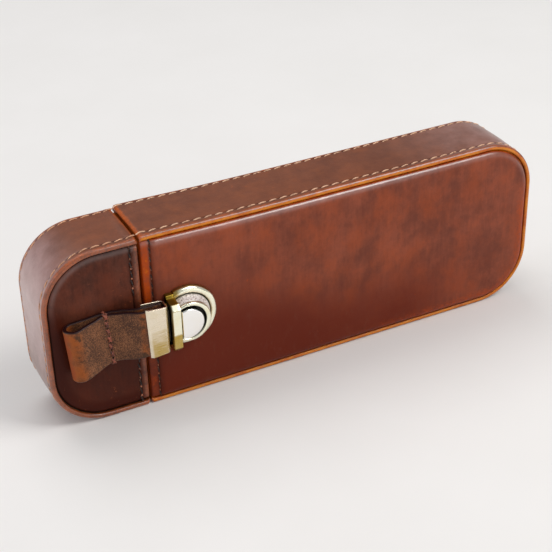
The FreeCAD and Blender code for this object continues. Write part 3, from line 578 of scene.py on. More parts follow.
def cap_front_painted_shade(x, z, edge, from_mouth):
    """Painted shade below, and beside the rim at the far end."""
    below = 0.55 * (1 - smooth_step(z, 18, 62))
    beside = 0.95 * (1 - smooth_step(edge, 2.0, 11.0)) * (1 - smooth_step(z, 40, 64))
    inside = smooth_step(from_mouth, cap_strip, cap_strip + 1)
    return np.clip(np.maximum(below, beside) * inside, 0, 1)


def cap_front_polish(x, z, edge, from_mouth):
    """A narrow shine beside the upper rim and on the turned strip."""
    strip = 0.5 * bump(from_mouth, 1.0, 0.7)
    above = smooth_step(z, height - 28, height - 10)
    return np.maximum(strip, 0.5 * bump(edge, 1.5, 1.0) * above)


# %% Cap's front
new_object(
    "cap_front", panel_mesh("cap_front", cap_mouth, cap_panel_low.x, cap_panel_low.z, -1,
                            cap_front_lift,
                            {"wear": cap_front_wear, "dark": cap_front_dark,
                             "painted_light": cap_front_painted_shade, "polish": cap_front_polish}, "cap"),
    "cap", ["cap_front_panel"])

# %% [markdown]
# ## The two backs
#
# The backs are thin leather, let in between the rims and the hinge strip. A plain inset face
# would do from far away, but its groove and soft crown show as the case turns. Both halves
# share one height function, and a loop makes them.

# %% Backs
back_face = 13.1
body_back_mouth = node_box("body_back_panel")[0].x
cap_back_mouth = node_box("cap_back_panel")[1].x


def back_lift(x, z, edge, from_mouth):
    """Thin leather inlaid between the rims and the hinge strip."""
    rise = (back_face - groove_lift) * shoulder(edge - 0.5, 0.9)
    crown = 0.15 * smooth_step(edge, 2, 14) * smooth_step(from_mouth, 2, 14)
    return groove_lift + rise + crown - 0.4 * (1 - shoulder(from_mouth, 0.6))


def back_wear(x, z, edge, from_mouth):
    """Amber in the groove."""
    return 1 - smooth_step(edge, 0.7, 1.4)


def back_dark(x, z, edge, from_mouth):
    """Even leather."""
    return 0.15 + 0 * edge


for name, body, mouth, end, inset, node in (
    ("body_back", "case_body", body_back_mouth, panel_high.x, panel_low.z, "body_back_panel"),
    ("cap_back", "cap", cap_back_mouth, cap_panel_low.x, cap_panel_low.z, "cap_back_panel"),
):
    mesh = panel_mesh(name, mouth, end, inset, 1, back_lift,
                      {"wear": back_wear, "dark": back_dark}, body)
    new_object(name, mesh, body, [node])

# %% [markdown]
# ## The hinge
#
# The cap swings on a strip of leather that crosses the seam at the back. Two halves, one on each
# body, would tear apart as the cap opens, and an armature is more than one fold needs.

# %% Hinge strip
hinge_lift = strip_high.y
hinge_row = 1.8         # stitch rows' distance from the strip's edges
hinge_edge = 1.2        # the mesh is finer this near to an edge
crease_reach = 3.0      # and this near to the crease


def hinge_swell(x):
    """The body's half of the strip rises with the body's back."""
    near = bump(x, body_mouth, swell_length)
    return mouth_deepening * near * smooth_step(x - seam_x, -1.0, 6.0)


def hinge_mesh():
    """Flat strip with rounded edges, a crease at the seam and two stitch valleys."""
    half = (strip_high.x - strip_low.x) / 2
    across = np.unique(np.round(np.concatenate([
        np.linspace(-half, -half + hinge_edge, 6),
        np.linspace(-half + hinge_edge, -crease_reach, 14),
        np.linspace(-crease_reach, crease_reach, 25),
        np.linspace(crease_reach, half - hinge_edge, 14),
        np.linspace(half - hinge_edge, half, 6)]), 3))
    along = np.unique(np.round(np.concatenate([
        np.linspace(strip_low.z, strip_low.z + hinge_edge, 6),
        np.linspace(strip_low.z + hinge_edge, strip_high.z - hinge_edge, 90),
        np.linspace(strip_high.z - hinge_edge, strip_high.z, 6)]), 3))
    u, z = np.meshgrid(across, along, indexing="ij")
    edge = np.minimum(half - np.abs(u), np.minimum(z - strip_low.z, strip_high.z - z))
    lift = hinge_lift - 0.6 * (1 - shoulder(edge, 0.8)) - 0.45 * bump(u, 0, 0.8)
    row = bump(np.abs(u), half - hinge_row, 0.45)
    lift = lift - hinge_pull * row_ripple(z) * row
    wear = np.clip((1 - smooth_step(edge, 0.2, 1.0)) * 0.8 + 0.5 * bump(u, 0, 1.6), 0, 1)
    points = np.stack([seam_x + u, lift + hinge_swell(seam_x + u), z], -1)
    # The stitch rows get painted shade in their valleys.
    mesh = build_mesh("hinge_leather", points, grid_faces(*u.shape),
                      {"wear": wear, "dark": 0.6 * row})
    return tidy_mesh(mesh, close_at=board_face)


hinge_leather = new_object("hinge_leather", hinge_mesh(), None, ["hinge_strip"])
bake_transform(hinge_leather)

# %% [markdown]
# ## The strap
#
# A single strip of leather starts in the metal end, runs down to the cap, turns back in a
# loop for the finger, is sewn through beside the loop and ends in the metal again. A curve with
# a bevel would twist and keep one width, and the real strap widens towards its loop. So a path
# of straight runs with round bends gives its middle line, and a rounded section follows it.

# %% Strap sizes
sheet_metal = 0.7       # thickness of the metal end's folded plate
strap_leather = 1.45
strap_edge_round = 0.4
stitch_x = seam_x - 15.0
strap_bend = 6.0
hang_start = -72.0      # left of here the strap hangs down a little
hang_slope = 0.08
strap_half_widths = ((-98.5, 11.15), (-82.0, 10.55), (-68.0, 9.8))     # x, half width
section_width = 20.0    # width of the section before it is stretched to the strap's own
layer_gap = (14.9, 15.05)   # lifts between the lower and the upper layer
pinch_start, pinch_half, slope_start = 12.0, 1.5, 2.5   # distances from the stitch row
strap_clearance = 0.05  # gap under the strap and inside its metal end
layers_apart = 0.1      # gap between its two layers where they are sewn
strap_pull = 0.22       # how deep its stitches pull the leather in
strap_pitch = 3.3
print(f"strap sewn at {seam_x - stitch_x:.1f} mm from the seam, stitches every {strap_pitch} mm")


def hanging(x, across):
    """Where the strap's points go when its free end hangs: places along X and across it."""
    slope = hang_slope * smooth_step(hang_start - x, 0.0, 8.0)
    drop = hang_slope * np.clip(hang_start - 4.0 - x, 0, None)
    return x - slope * across, middle_z + across - drop


# %% Paths with rounded corners
def rounded_path(corners, bends, step=0.35):
    """Sample straight runs whose corners are rounded by the given radii."""
    corners = [Vector(corner) for corner in corners]
    spots = [corners[0]]
    for before, corner, after, radius in zip(corners, corners[1:], corners[2:], bends):
        into, out = (before - corner).normalized(), (after - corner).normalized()
        turn = math.pi - into.angle(out)
        trim = radius * math.tan(turn / 2)
        centre = corner + (into + out).normalized() * (radius / math.cos(turn / 2))
        first, last = corner + into * trim, corner + out * trim
        start = first - centre
        count = max(3, round(turn * radius / step) + 2)
        side = 1.0 if start.cross(last - centre) > 0 else -1.0
        for share in np.linspace(0, 1, count):
            angle = side * share * turn
            spots.append(centre + Vector((start.x * math.cos(angle) - start.y * math.sin(angle),
                                          start.x * math.sin(angle) + start.y * math.cos(angle))))
    spots.append(corners[-1])
    even = [spots[0]]
    for spot in spots[1:]:
        gap = (spot - even[-1]).length
        if gap < 1e-6:
            continue
        origin = even[-1].copy()
        for share in np.linspace(0, 1, max(2, round(gap / step) + 1))[1:]:
            even.append(origin.lerp(spot, share))
    return np.array([tuple(spot) for spot in even])


def left_of(path):
    """The direction to the left of a path at each of its points."""
    ahead = np.gradient(path, axis=0)
    ahead /= np.linalg.norm(ahead, axis=1)[:, None]
    return np.stack([-ahead[:, 1], ahead[:, 0]], -1)


# %% Middle line of the strap
def strap_corners():
    """Middle line of the strap, as x and lift, from its inner end round the loop."""
    half = strap_leather / 2
    under = cap_face + strap_clearance + half
    pinched = under + strap_leather + layers_apart
    top = -strap_low.y - half
    inner = -clip_high.y + sheet_metal + strap_clearance + half
    outer = -clip_low.y - sheet_metal - strap_clearance - half
    tip = strap_high.x
    mouth = clip_low.x - 2 * half
    radius = (top - under) / 2
    fold = strap_low.x + half + radius
    nook = fold - radius
    corners = [(tip, inner), (mouth, inner), (stitch_x + slope_start, under), (nook, under),
               (nook, top), (stitch_x - pinch_start, top), (stitch_x - pinch_half, pinched),
               (stitch_x + pinch_half, pinched), (mouth - half, outer), (tip, outer)]
    round_fold = radius * 0.999
    bends = [strap_bend, strap_bend, round_fold, round_fold, strap_bend, 4.0, 4.0, strap_bend]
    return corners, bends


# %% Section of the strap
def rounded_section(thick, wide, radius, steps=5):
    """Points round a flat rounded section, thickness first, with extra points across."""
    spots = []
    flat = np.linspace(wide / 2 - radius, radius - wide / 2, 24)[1:-1]
    for quarter, (a, b) in enumerate(((1, 1), (-1, 1), (-1, -1), (1, -1))):
        for share in np.linspace(0, 1, steps):
            angle = (quarter + share) * math.pi / 2
            spots.append((a * (thick / 2 - radius) + radius * math.cos(angle),
                          b * (wide / 2 - radius) + radius * math.sin(angle)))
        if a == -1 and b == 1:
            spots += [(-thick / 2, value) for value in flat]
        if a == 1 and b == -1:
            spots += [(thick / 2, -value) for value in flat]
    return np.array(spots)


# %% Sweep the strap
def strap_mesh():
    """The strap's section carried along its path."""
    sharp = rounded_path(*strap_corners())
    path = sharp.copy()
    for axis in (0, 1):
        path[2:-2, axis] = np.convolve(sharp[:, axis], np.ones(5) / 5, "valid")
    left = left_of(path)
    walked = np.concatenate([[0], np.cumsum(np.linalg.norm(np.diff(path, axis=0), axis=1))])
    section = rounded_section(strap_leather, section_width, strap_edge_round)
    thick, across = section[None, :, 0], section[None, :, 1]
    places, halves = zip(*strap_half_widths)
    edge_wave = 0.10 * np.sin(walked / 3.1) + 0.05 * np.sin(walked / 1.3 + 2)
    half_width = (np.interp(path[:, 0], places, halves) + edge_wave)[:, None]
    cut_edge = smooth_step(np.abs(across), 9.45, 9.9)
    across = across * half_width / (section_width / 2)
    upper = smooth_step(path[:, 1], *layer_gap)[:, None]
    pull = strap_pull * bump(path[:, 0], stitch_x, 0.7)[:, None] * upper
    ripple = 0.65 - 0.35 * np.cos(2 * math.pi * across / strap_pitch)
    thick = thick * (1 - 2 * pull * ripple / strap_leather * (np.abs(thick) > 0.5))
    x = path[:, 0][:, None] + left[:, 0][:, None] * thick
    lift = path[:, 1][:, None] + left[:, 1][:, None] * thick
    x, z = hanging(x, across)
    points = np.stack([x, -lift, z], -1)
    fold = smooth_step(-(path[:, 0]), -strap_low.x - 8.0, -strap_low.x - 0.4)[:, None]
    by_clip = 0.5 * bump(path[:, 0], clip_low.x - 1.0, 1.6)[:, None] * upper
    wear = np.clip(np.maximum(fold, by_clip) * (1 - cut_edge) + 0 * x, 0, 1)
    # Painted shade in the stitch valleys.
    dark = np.clip(0.8 * pull / strap_pull * ripple + 0 * x, 0, 1)
    return swept_mesh("strap_loop", points,
                      {"wear": wear, "dark": dark, "edge": cut_edge + 0 * x})


new_object("strap_loop", strap_mesh(), "cap", ["strap"], crease=50)

# %% [markdown]
# ## The strap's metal end
#
# A sheet of brass is folded round the strap's ends and pinned. Its tongue, with an eye for the
# catch, slides into the lock. A bevelled block would look solid from the strap's side, where the
# real sheet is open, so the sheet is a path with thickness, drawn out along the strap's width.
# A fine bevel catches the light as the real pressed edges do.

# %% Folding and drawing out
def thick_outline(path, thickness):
    """The closed outline of a path that is given a thickness to its left."""
    return np.concatenate([path, (path + left_of(path) * thickness)[::-1]])


def drawn_out(name, outline_points, low, high, steps, bulge):
    """Draw a closed outline of x and lift along z, and shape it there with a function."""
    rows = [bulge(np.array([(x, -lift, level) for x, lift in outline_points]))
            for level in np.linspace(low, high, steps + 1)]
    return swept_mesh(name, np.array(rows))


# %% Folded sheet
clip_right = clip_low.x + 8.7
clip_lean = 0.045       # the metal end's left side leans a little
clip_flare = 0.7        # and it is a little taller there
clip_fold = 1.5
clip_steps = 36
rolled_edge = 0.7       # the front plate's left edge is rolled in this much
low_plate, high_plate = -clip_high.y, -clip_low.y


def clip_mesh():
    """Folded sheet open towards the strap, with its front edge rolled in a little."""
    left = clip_low.x + 0.25
    corners = [(left, low_plate), (clip_right, low_plate), (clip_right, high_plate),
               (left + rolled_edge, high_plate), (left, high_plate - rolled_edge)]
    path = rounded_path(corners, [clip_fold, clip_fold, 0.9], step=0.2)
    outline_points = thick_outline(path, sheet_metal)

    def bulge(spots):
        front = smooth_step(-spots[:, 1], high_plate - 0.7, high_plate - 0.5)
        share = np.clip((spots[:, 0] - clip_low.x) / (clip_right - clip_low.x), 0, 1)
        level = (spots[:, 2] - middle_z) / (clip_high.z - middle_z)
        spots[:, 1] -= 0.15 * front * np.sin(share * math.pi)
        spots[:, 0] += front * (1 - share) * 0.3 * level ** 2
        spots[:, 0] -= clip_lean * (1 - share) * (spots[:, 2] - middle_z)
        spots[:, 2] += clip_flare * (1 - share) * level
        return spots
    return drawn_out("metal_end", outline_points, clip_low.z, clip_high.z, clip_steps, bulge)


# %% Tongue
tongue_lifts, tongue_half = (17.3, 18.7), 6.8
tongue_overlap = 0.5    # how far it reaches into the folded sheet
eye_from, eye_to, eye_half = 1.7, 4.3, 5.5      # the catch's eye, from the sheet's right side


def tongue_mesh():
    """A flat plate with a rectangular eye."""
    def corners(left, right, half):
        return [(left, -half), (right, -half), (right, half), (left, half)]

    outer = corners(clip_right - tongue_overlap, clip_high.x, tongue_half)
    inner = corners(clip_right + eye_from, clip_right + eye_to, eye_half)
    points = [(x, -lift, middle_z + z) for lift in tongue_lifts for x, z in outer + inner]
    faces = []
    for i in range(4):
        j = (i + 1) % 4
        faces.append((i, j, 4 + j, 4 + i))
        faces.append((8 + j, 8 + i, 12 + i, 12 + j))
        faces.append((j, i, 8 + i, 8 + j))
        faces.append((4 + i, 4 + j, 12 + j, 12 + i))
    return tidy_mesh(build_mesh("tongue", points, faces))


# %% Masks on metal
def with_point_mask(mesh, share, mask="tarnish_and_reflection"):
    """Store a mask, as a rule the tarnish and painted reflection, from a function of the points in
    millimetres.
    """
    spots = np.array([tuple(vert.co) for vert in mesh.vertices]) / MM
    layer = mesh.attributes.get(mask) or mesh.attributes.new(mask, "FLOAT", "POINT")
    layer.data.foreach_set("value", share(spots).astype(np.float32))
    return mesh


def joined(name, meshes):
    """Several meshes in one, each with its own shade mask."""
    work = bmesh.new()
    layer = work.verts.layers.float.new("dark")
    for mesh, shade in meshes:
        before = len(work.verts)
        work.from_mesh(mesh)
        work.verts.ensure_lookup_table()
        for vert in work.verts[before:]:
            vert[layer] = max(vert[layer], shade)
    made = bpy.data.meshes.new(name)
    work.to_mesh(made)
    work.free()
    return made


def clip_tarnish_and_reflection(spots):
    """The metal end: a painted reflection makes its lower half golden brown, a painted highlight
    line runs just above the middle, and its two rounded edges are left bright as a painted
    highlight.
    """
    across = spots[:, 0] + clip_lean * (spots[:, 2] - middle_z) - clip_low.x
    edges = smooth_step(across, 0.6, 1.8) * (1 - smooth_step(across, 6.8, 8.0))
    low = 0.3 * smooth_step(middle_z + 1.0 - spots[:, 2], -0.5, 0.5)
    low = low + 0.3 * smooth_step(middle_z + 1.0 - spots[:, 2], 1.0, 8.0)
    line = 0.5 * bump(spots[:, 2], middle_z + 1.4, 0.3)
    return np.clip(low * (0.3 + 0.7 * edges) - line, 0, 1) + 0.12 * edges


# %% Metal end
clip_sheet = bevelled(clip_mesh(), width=0.24, segments=3)
tongue = bevelled(tongue_mesh(), width=0.2)
# The tongue gets painted shade, as it sits deep in the bar's slot.
end_mesh = joined("metal_end", [(clip_sheet, 0.0), (tongue, 0.9)])
with_point_mask(end_mesh, clip_tarnish_and_reflection)
new_object("metal_end", end_mesh, "cap", ["strap_clip"], crease=35)

# %% [markdown]
# ## The lock
#
# The lock's housing is one casting: a bar with the tongue's slot, a round skirt, a sloping band
# with a rough cast surface, and a ring round the button that sits off centre. Spin would turn
# one profile about one axis, but here the skirt, ring and opening have three. Each line of the
# housing is an arc that starts and ends at the bar, so the mesh is a loft through such arcs.

# %% Places in the lock
bar_left, bar_right = lock_low.x + 0.2, lock_low.x + 3.4
skirt_x, ring_x, opening_x = seam_x + 15.7, seam_x + 15.2, seam_x + 14.6
button_x, flange_x = seam_x + 14.4, seam_x + 14.8
skirt_above, ring_above, opening_above = 0.9, 0.7, 0.75    # centres above the middle
foot = crest
bar_face = -lock_low.y
ring_face = rim_lift + 7.7
lip_lift = rim_lift + 5.5
print(f"lock from {foot:.1f} to {bar_face:.1f} mm in front of the middle plane")

# %% Lines of the housing
# The last column is painted shade: at the skirt's foot, in the groove inside the skirt, on the ring
# and down the opening to the flange.
HOUSING = (  # centre, its height above the middle, radius, lift, rough, dark
    (skirt_x, skirt_above, 12.3, foot, 0, 0.5),
    (skirt_x, skirt_above, 12.3, foot + 0.9, 0, 0.15),
    (skirt_x, skirt_above, 12.2, foot + 1.4, 0, 0),
    (skirt_x, skirt_above, 11.9, foot + 1.9, 0, 0),
    (skirt_x, skirt_above, 11.4, foot + 2.3, 0, 0),
    (skirt_x, skirt_above, 10.7, foot + 2.5, 0, 0),
    (skirt_x, skirt_above, 10.1, foot + 2.35, 0, 0),
    (skirt_x, skirt_above, 9.75, foot + 2.05, 0, 0.25),
    (skirt_x, skirt_above, 9.6, foot + 1.7, 0, 0.9),
    (skirt_x, skirt_above, 9.35, foot + 1.6, 0, 1),
    (skirt_x, skirt_above, 9.25, foot + 1.9, 0.3, 0.6),
    (skirt_x, skirt_above, 9.1, foot + 2.2, 1, 0),
    (ring_x, ring_above, 8.5, ring_face - 1.5, 1, 0),
    (ring_x, ring_above, 8.4, ring_face - 1.3, 0.2, 0.5),
    (ring_x, ring_above, 8.35, ring_face - 0.8, 0, 0),
    (ring_x, ring_above, 8.2, ring_face - 0.3, 0, 0),
    (ring_x, ring_above, 7.9, ring_face, 0, 0),
    (opening_x, opening_above, 7.3, ring_face, 0, 0),
    (opening_x, opening_above, 7.1, ring_face - 0.12, 0, 0.1),
    (opening_x, opening_above, 7.0, ring_face - 0.4, 0, 0.9),
    (opening_x, opening_above, 7.0, lip_lift, 0, 1),
    (flange_x, 0, 8.05, lip_lift, 0, 1),
    (flange_x, 0, 8.05, foot, 0, 1),
)


# %% Loft the housing
def housing_mesh():
    """Loft through the arcs of the housing."""
    turns = np.linspace(-1, 1, 97)
    rows, rough, dark = [], [], []
    for centre, above, radius, lift, rough_here, dark_here in HOUSING:
        reach = math.acos((bar_right - centre) / radius)
        rows.append([(centre + radius * math.cos(share * reach), -lift,
                      middle_z + above + radius * math.sin(share * reach)) for share in turns])
        rough.append([rough_here] * len(turns))
        dark.append([dark_here] * len(turns))
    points = np.array(rows).transpose(1, 0, 2)
    masks = {"rough": np.array(rough).T, "dark": np.array(dark).T}
    mesh = swept_mesh("housing", points, masks)

    # Golden brown tarnish in the groove inside the skirt, and round the skirt's foot and high
    # beside the bar partly tarnish and partly a painted reflection of the leather.
    def share(spots):
        by_bar = 1 - smooth_step(spots[:, 0] - bar_right, 0.5, 3.6)
        high = smooth_step(spots[:, 2], middle_z + 8.5, middle_z + 10.0)
        radius = np.hypot(spots[:, 0] - skirt_x, spots[:, 2] - middle_z - skirt_above)
        outer = smooth_step(radius, 11.9, 12.25)
        inner = 0.7 * bump(radius, 9.8, 0.3) * (1 - smooth_step(-spots[:, 1], foot + 3, foot + 4))
        return np.clip(np.maximum(np.maximum(0.85 * by_bar * high, 0.75 * outer), inner), 0, 1)
    return with_point_mask(mesh, share)


# %% Bar of the housing
def bar_mesh():
    """The slotted bar: an arch over the tongue with steep sides, chamfers and short feet."""
    face_half, side_half, foot_half, slot_half = 8.1, 10.1, 11.7, 7.2
    ceiling = rim_lift + 6.7
    half = [(face_half, bar_face), (side_half, bar_face - 1.8), (side_half + 0.3, foot + 2.2),
            (foot_half - 0.2, foot + 1.8), (foot_half, foot)]
    corners = [(-z, lift) for z, lift in reversed(half)] + half
    bends = [0.5, 0.3, 0.35, 0.4, 0.4, 0.35, 0.3, 0.5]
    arch = rounded_path(corners, bends, step=0.2).tolist()
    arch += [(slot_half, foot), (slot_half, ceiling), (-slot_half, ceiling), (-slot_half, foot)]
    rows = [[(x, -lift, middle_z + z) for z, lift in arch]
            for x in np.linspace(bar_left, bar_right, 9)]
    mesh = bevelled(swept_mesh("bar", np.array(rows)), width=0.3, segments=3, angle=50)

    # Golden brown tarnish on the steep sides, along the crease and the edges, and a painted
    # reflection below the middle.
    def share(spots):
        above = spots[:, 2] - middle_z
        across = np.abs(spots[:, 0] - (bar_left + bar_right) / 2)
        bar_half = (bar_right - bar_left) / 2
        side = smooth_step(above, side_half - 0.25, side_half)
        line = 0.55 * bump(above, face_half, 0.3)
        low = 0.85 * smooth_step(-above, 1.4, 2.8)
        rim = 0.45 * smooth_step(across, bar_half - 0.3, bar_half)
        return np.maximum(np.maximum(side, line), np.maximum(low, rim))

    # Painted shade over the left half of the bar's upper shoulder, stored in the dark mask.
    def brown(spots):
        above = spots[:, 2] - middle_z
        right = (spots[:, 0] - bar_left) / (bar_right - bar_left)
        shoulder_above = smooth_step(above, face_half + 0.1, face_half + 0.5)
        return 0.5 * shoulder_above * (1 - smooth_step(right, 0.5, 1.0))
    return with_point_mask(with_point_mask(mesh, share), brown, "dark")


# %% Housing and bar
new_object("lock_housing", housing_mesh(), "case_body", ["lock_case"], crease=50)
new_object("lock_bar", bar_mesh(), "case_body", crease=40)

# %% [markdown]
# ## The press button
#
# The button is a half-moon: a disc whose left side is cut off straight beside the bar. A bevel
# on a cut cylinder would round it evenly, but the real one has a soft edge that runs into a
# slightly domed face. So it is lofted through half-moons that shrink as they rise, and a wider
# flange below them stays under the housing's lip.


# %% Press button
button_head, button_flange = 6.36, 7.85     # radii


def half_moon(flat, centre, radius, count=72):
    """A disc's outline with its left side cut off straight."""
    reach = math.acos((flat - centre) / radius)
    arc = [(centre + radius * math.cos(turn), radius * math.sin(turn))
           for turn in np.linspace(-reach, reach, count)]
    top, low = arc[-1][1], arc[0][1]
    arc += [(flat, value) for value in np.linspace(top, low, 26)[1:-1]]
    return arc


def button_mesh():
    """Half-moon head with a soft edge and a slightly domed face, over its flange."""
    flat, top = button_low.x, -button_low.y
    head, flange, neck = button_head, button_flange, lip_lift - 0.2
    rows, dark = [], []
    # The last number of each row is painted shade on the flange and the head's side, which sit in
    # the gap under the lip.
    for inset, lift, radius, shade in (
        (0, -button_high.y, flange, 1), (0, neck, flange, 1), (0, neck, head, 1),
        (0, top - 1.1, head, 0.9), (0, top - 0.6, head, 0.2), (0.08, top - 0.32, head, 0),
        (0.22, top - 0.14, head, 0), (0.45, top - 0.02, head, 0), (0.9, top + 0.03, head, 0),
        (2.5, top + 0.08, head, 0), (4.2, top + 0.1, head, 0),
    ):
        centre = flange_x if radius == flange else button_x
        spots = half_moon(flat + inset, centre, radius - inset)
        rows.append([(x, -lift, middle_z + z) for x, z in spots])
        dark.append([shade] * len(spots))
    return swept_mesh("button_face", np.array(rows), {"dark": np.array(dark)})


new_object("press_button", button_mesh(), "button", ["lock_button"], crease=60)

# %% [markdown]
# ## Inside
#
# Open the cap and the tray shows: a board trough with a soft bed that has a channel for each
# pen. Cutting cylinders out of a block would leave sharp crests, and padding has none. So the
# bed is drawn as one cross-section of three channels with rounded crests, carried along the
# tray and closed by a rounded end.

# %% Pen bed
channel_radius = 7.8
channel_count = 3
channel_end = 87.2
crest_round = 1.6       # how far the crests between the channels are rounded down
bed_corner = 15.85      # radius of the bed's far corners


def bed_mesh():
    """Padded bed: three channels between round crests."""
    low, high = bed_low.z, bed_high.z
    pitch = (high - low) / channel_count
    face = bed_low.y
    zs = np.linspace(low, high, 121)
    xs = np.unique(np.round(np.concatenate([
        np.linspace(bed_low.x, bed_low.x + 2, 9), np.linspace(bed_low.x + 2, channel_end - 3, 40),
        np.linspace(channel_end - 3, channel_end + 2, 24),
        np.linspace(channel_end + 2, bed_high.x, 10)]), 3))
    x, z = np.meshgrid(xs, zs, indexing="ij")
    local = (z - low) % pitch - pitch / 2
    depth = np.sqrt(np.clip(channel_radius ** 2 - local ** 2, 0, None))
    depth = depth - crest_round * (1 - smooth_step(np.abs(local), channel_radius + 1.6,
                                                   channel_radius - 1.0))
    depth = np.clip(depth, -0.2, None) * (1 - smooth_step(x, channel_end - 1.5, channel_end))
    edge = np.minimum(np.minimum(z - low, high - z), np.minimum(x - bed_low.x, bed_high.x - x))
    straight_x, centre_z = bed_high.x - bed_corner, (low + high) / 2
    straight_z = (high - low) / 2 - bed_corner
    reach_x = np.clip(x - straight_x, 0, None)
    reach_z = np.clip(np.abs(z - centre_z) - straight_z, 0, None)
    squeeze = np.minimum(1, bed_corner / np.maximum(np.hypot(reach_x, reach_z), 1e-6))
    x = np.where(reach_x > 0, straight_x + reach_x * squeeze, x)
    z = np.where(reach_z > 0,
                 centre_z + np.sign(z - centre_z) * (straight_z + reach_z * squeeze), z)
    y = face + depth + 0.8 * (1 - shoulder(edge, 1.2)) + 0.25
    mesh = build_mesh("channel_bed", np.stack([x, y, z], -1), grid_faces(*x.shape))
    return tidy_mesh(mesh, close_at=bed_high.y)


channel_bed = new_object("channel_bed", bed_mesh(), "tray", ["pen_bed"], crease=60)

# %% [markdown]
# ## Plain pieces
#
# Linings, turned edges and the tray's trough have the right shape in the CAD model already, so
# nothing is modelled again. Their triangles are copied, welded and shaded smooth, so that round
# corners look round, and the body's pieces swell with their neighbours.


# %% Smooth copies
def smooth_copy(node, name, body, slot, wear, crease=35.0):
    """A welded copy of a CAD node with smooth shading and even wear."""
    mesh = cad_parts[node].data.copy()
    mesh.materials.clear()
    work = bmesh.new()
    work.from_mesh(mesh)
    bmesh.ops.remove_doubles(work, verts=work.verts, dist=1e-6)
    work.to_mesh(mesh)
    work.free()
    points = np.array([tuple(vert.co) for vert in mesh.vertices]) / MM
    moved = swell(points, body)
    mesh.vertices.foreach_set("co", (moved * MM).ravel())
    for key, value in (("wear", wear), ("dark", 0.0)):
        layer = mesh.attributes.new(key, "FLOAT", "POINT")
        layer.data.foreach_set("value", np.full(len(points), value, np.float32))
    new_object(name, mesh, body, [node], crease)


PLAIN = (  # node, name, body, slot, wear
    ("body_lining", "body_suede", "case_body", "lining_cloth", 0),
    ("cap_lining", "cap_suede", "cap", "lining_cloth", 0),
    ("body_mouth_facing", "body_turned_edge", "case_body", "edge_leather", 0.7),
    ("cap_mouth_facing", "cap_turned_edge", "cap", "edge_leather", 0.7),
    ("mouth_collar", "collar_leather", "case_body", "edge_leather", 0.3),
    ("tray_trough", "trough_cloth", "tray", "tray_cloth", 0),
    ("pull_tab", "tab_leather", "tray", "strap_leather", 0.2),
)
for row in PLAIN:
    smooth_copy(*row)

# %% [markdown]
# ## Finishes
#
# The leather was dyed reddish brown over a pale hide, so wherever it is rubbed, folded or cut it
# turns orange and amber. Where thread pulls it in, and in grooves and holes, painted shade makes it
# nearly black. Each finish starts from the masks that the meshes carry and breaks them up with
# noise, as wear does.
#
# Shader maths is written as plain expressions. `Value` wraps one socket and gives it operators;
# `Board` adds any other node to a tree, in materials and in Geometry Nodes alike.


# %% Node helpers
class Value:
    """One socket of a node tree, with operators that add Math nodes."""

    def __init__(self, board, socket):
        self.board, self.socket = board, socket

    def math(self, operation, *values):
        """Add a Math node."""
        return self.board.node("ShaderNodeMath", dict(enumerate(values)), operation=operation)

    def __add__(self, other):
        return self.math("ADD", self, other)

    def __radd__(self, other):
        return self.math("ADD", other, self)

    def __sub__(self, other):
        return self.math("SUBTRACT", self, other)

    def __rsub__(self, other):
        return self.math("SUBTRACT", other, self)

    def __mul__(self, other):
        return self.math("MULTIPLY", self, other)

    def __rmul__(self, other):
        return self.math("MULTIPLY", other, self)

    def __neg__(self):
        return self.math("MULTIPLY", self, -1.0)

    def step(self, low, high):
        """0 below low and 1 above high, eased."""
        return self.board.node("ShaderNodeMapRange",
                               {"Value": self, "From Min": low, "From Max": high},
                               interpolation_type="SMOOTHSTEP")


# %% A tree's board
class Board:
    """A node tree that is filled in through one method."""

    def __init__(self, tree):
        self.tree = tree

    def node(self, kind, sockets=None, output=0, **settings):
        """Add a node, set its settings, then its sockets, and wrap one of its outputs."""
        made = self.tree.nodes.new(kind)
        for key, value in settings.items():
            setattr(made, key, value)
        for key, value in (sockets or {}).items():
            if isinstance(value, Value):
                self.tree.links.new(value.socket, made.inputs[key])
            else:
                made.inputs[key].default_value = value
        return Value(self, made.outputs[output])


# %% Tones
def tone(red, green, blue):
    """A colour given as it looks on screen, 0 to 255, for a shader."""
    shares = [value / 255 for value in (red, green, blue)]
    linear = [share / 12.92 if share <= 0.04045 else ((share + 0.055) / 1.055) ** 2.4
              for share in shares]
    return (*linear, 1.0)


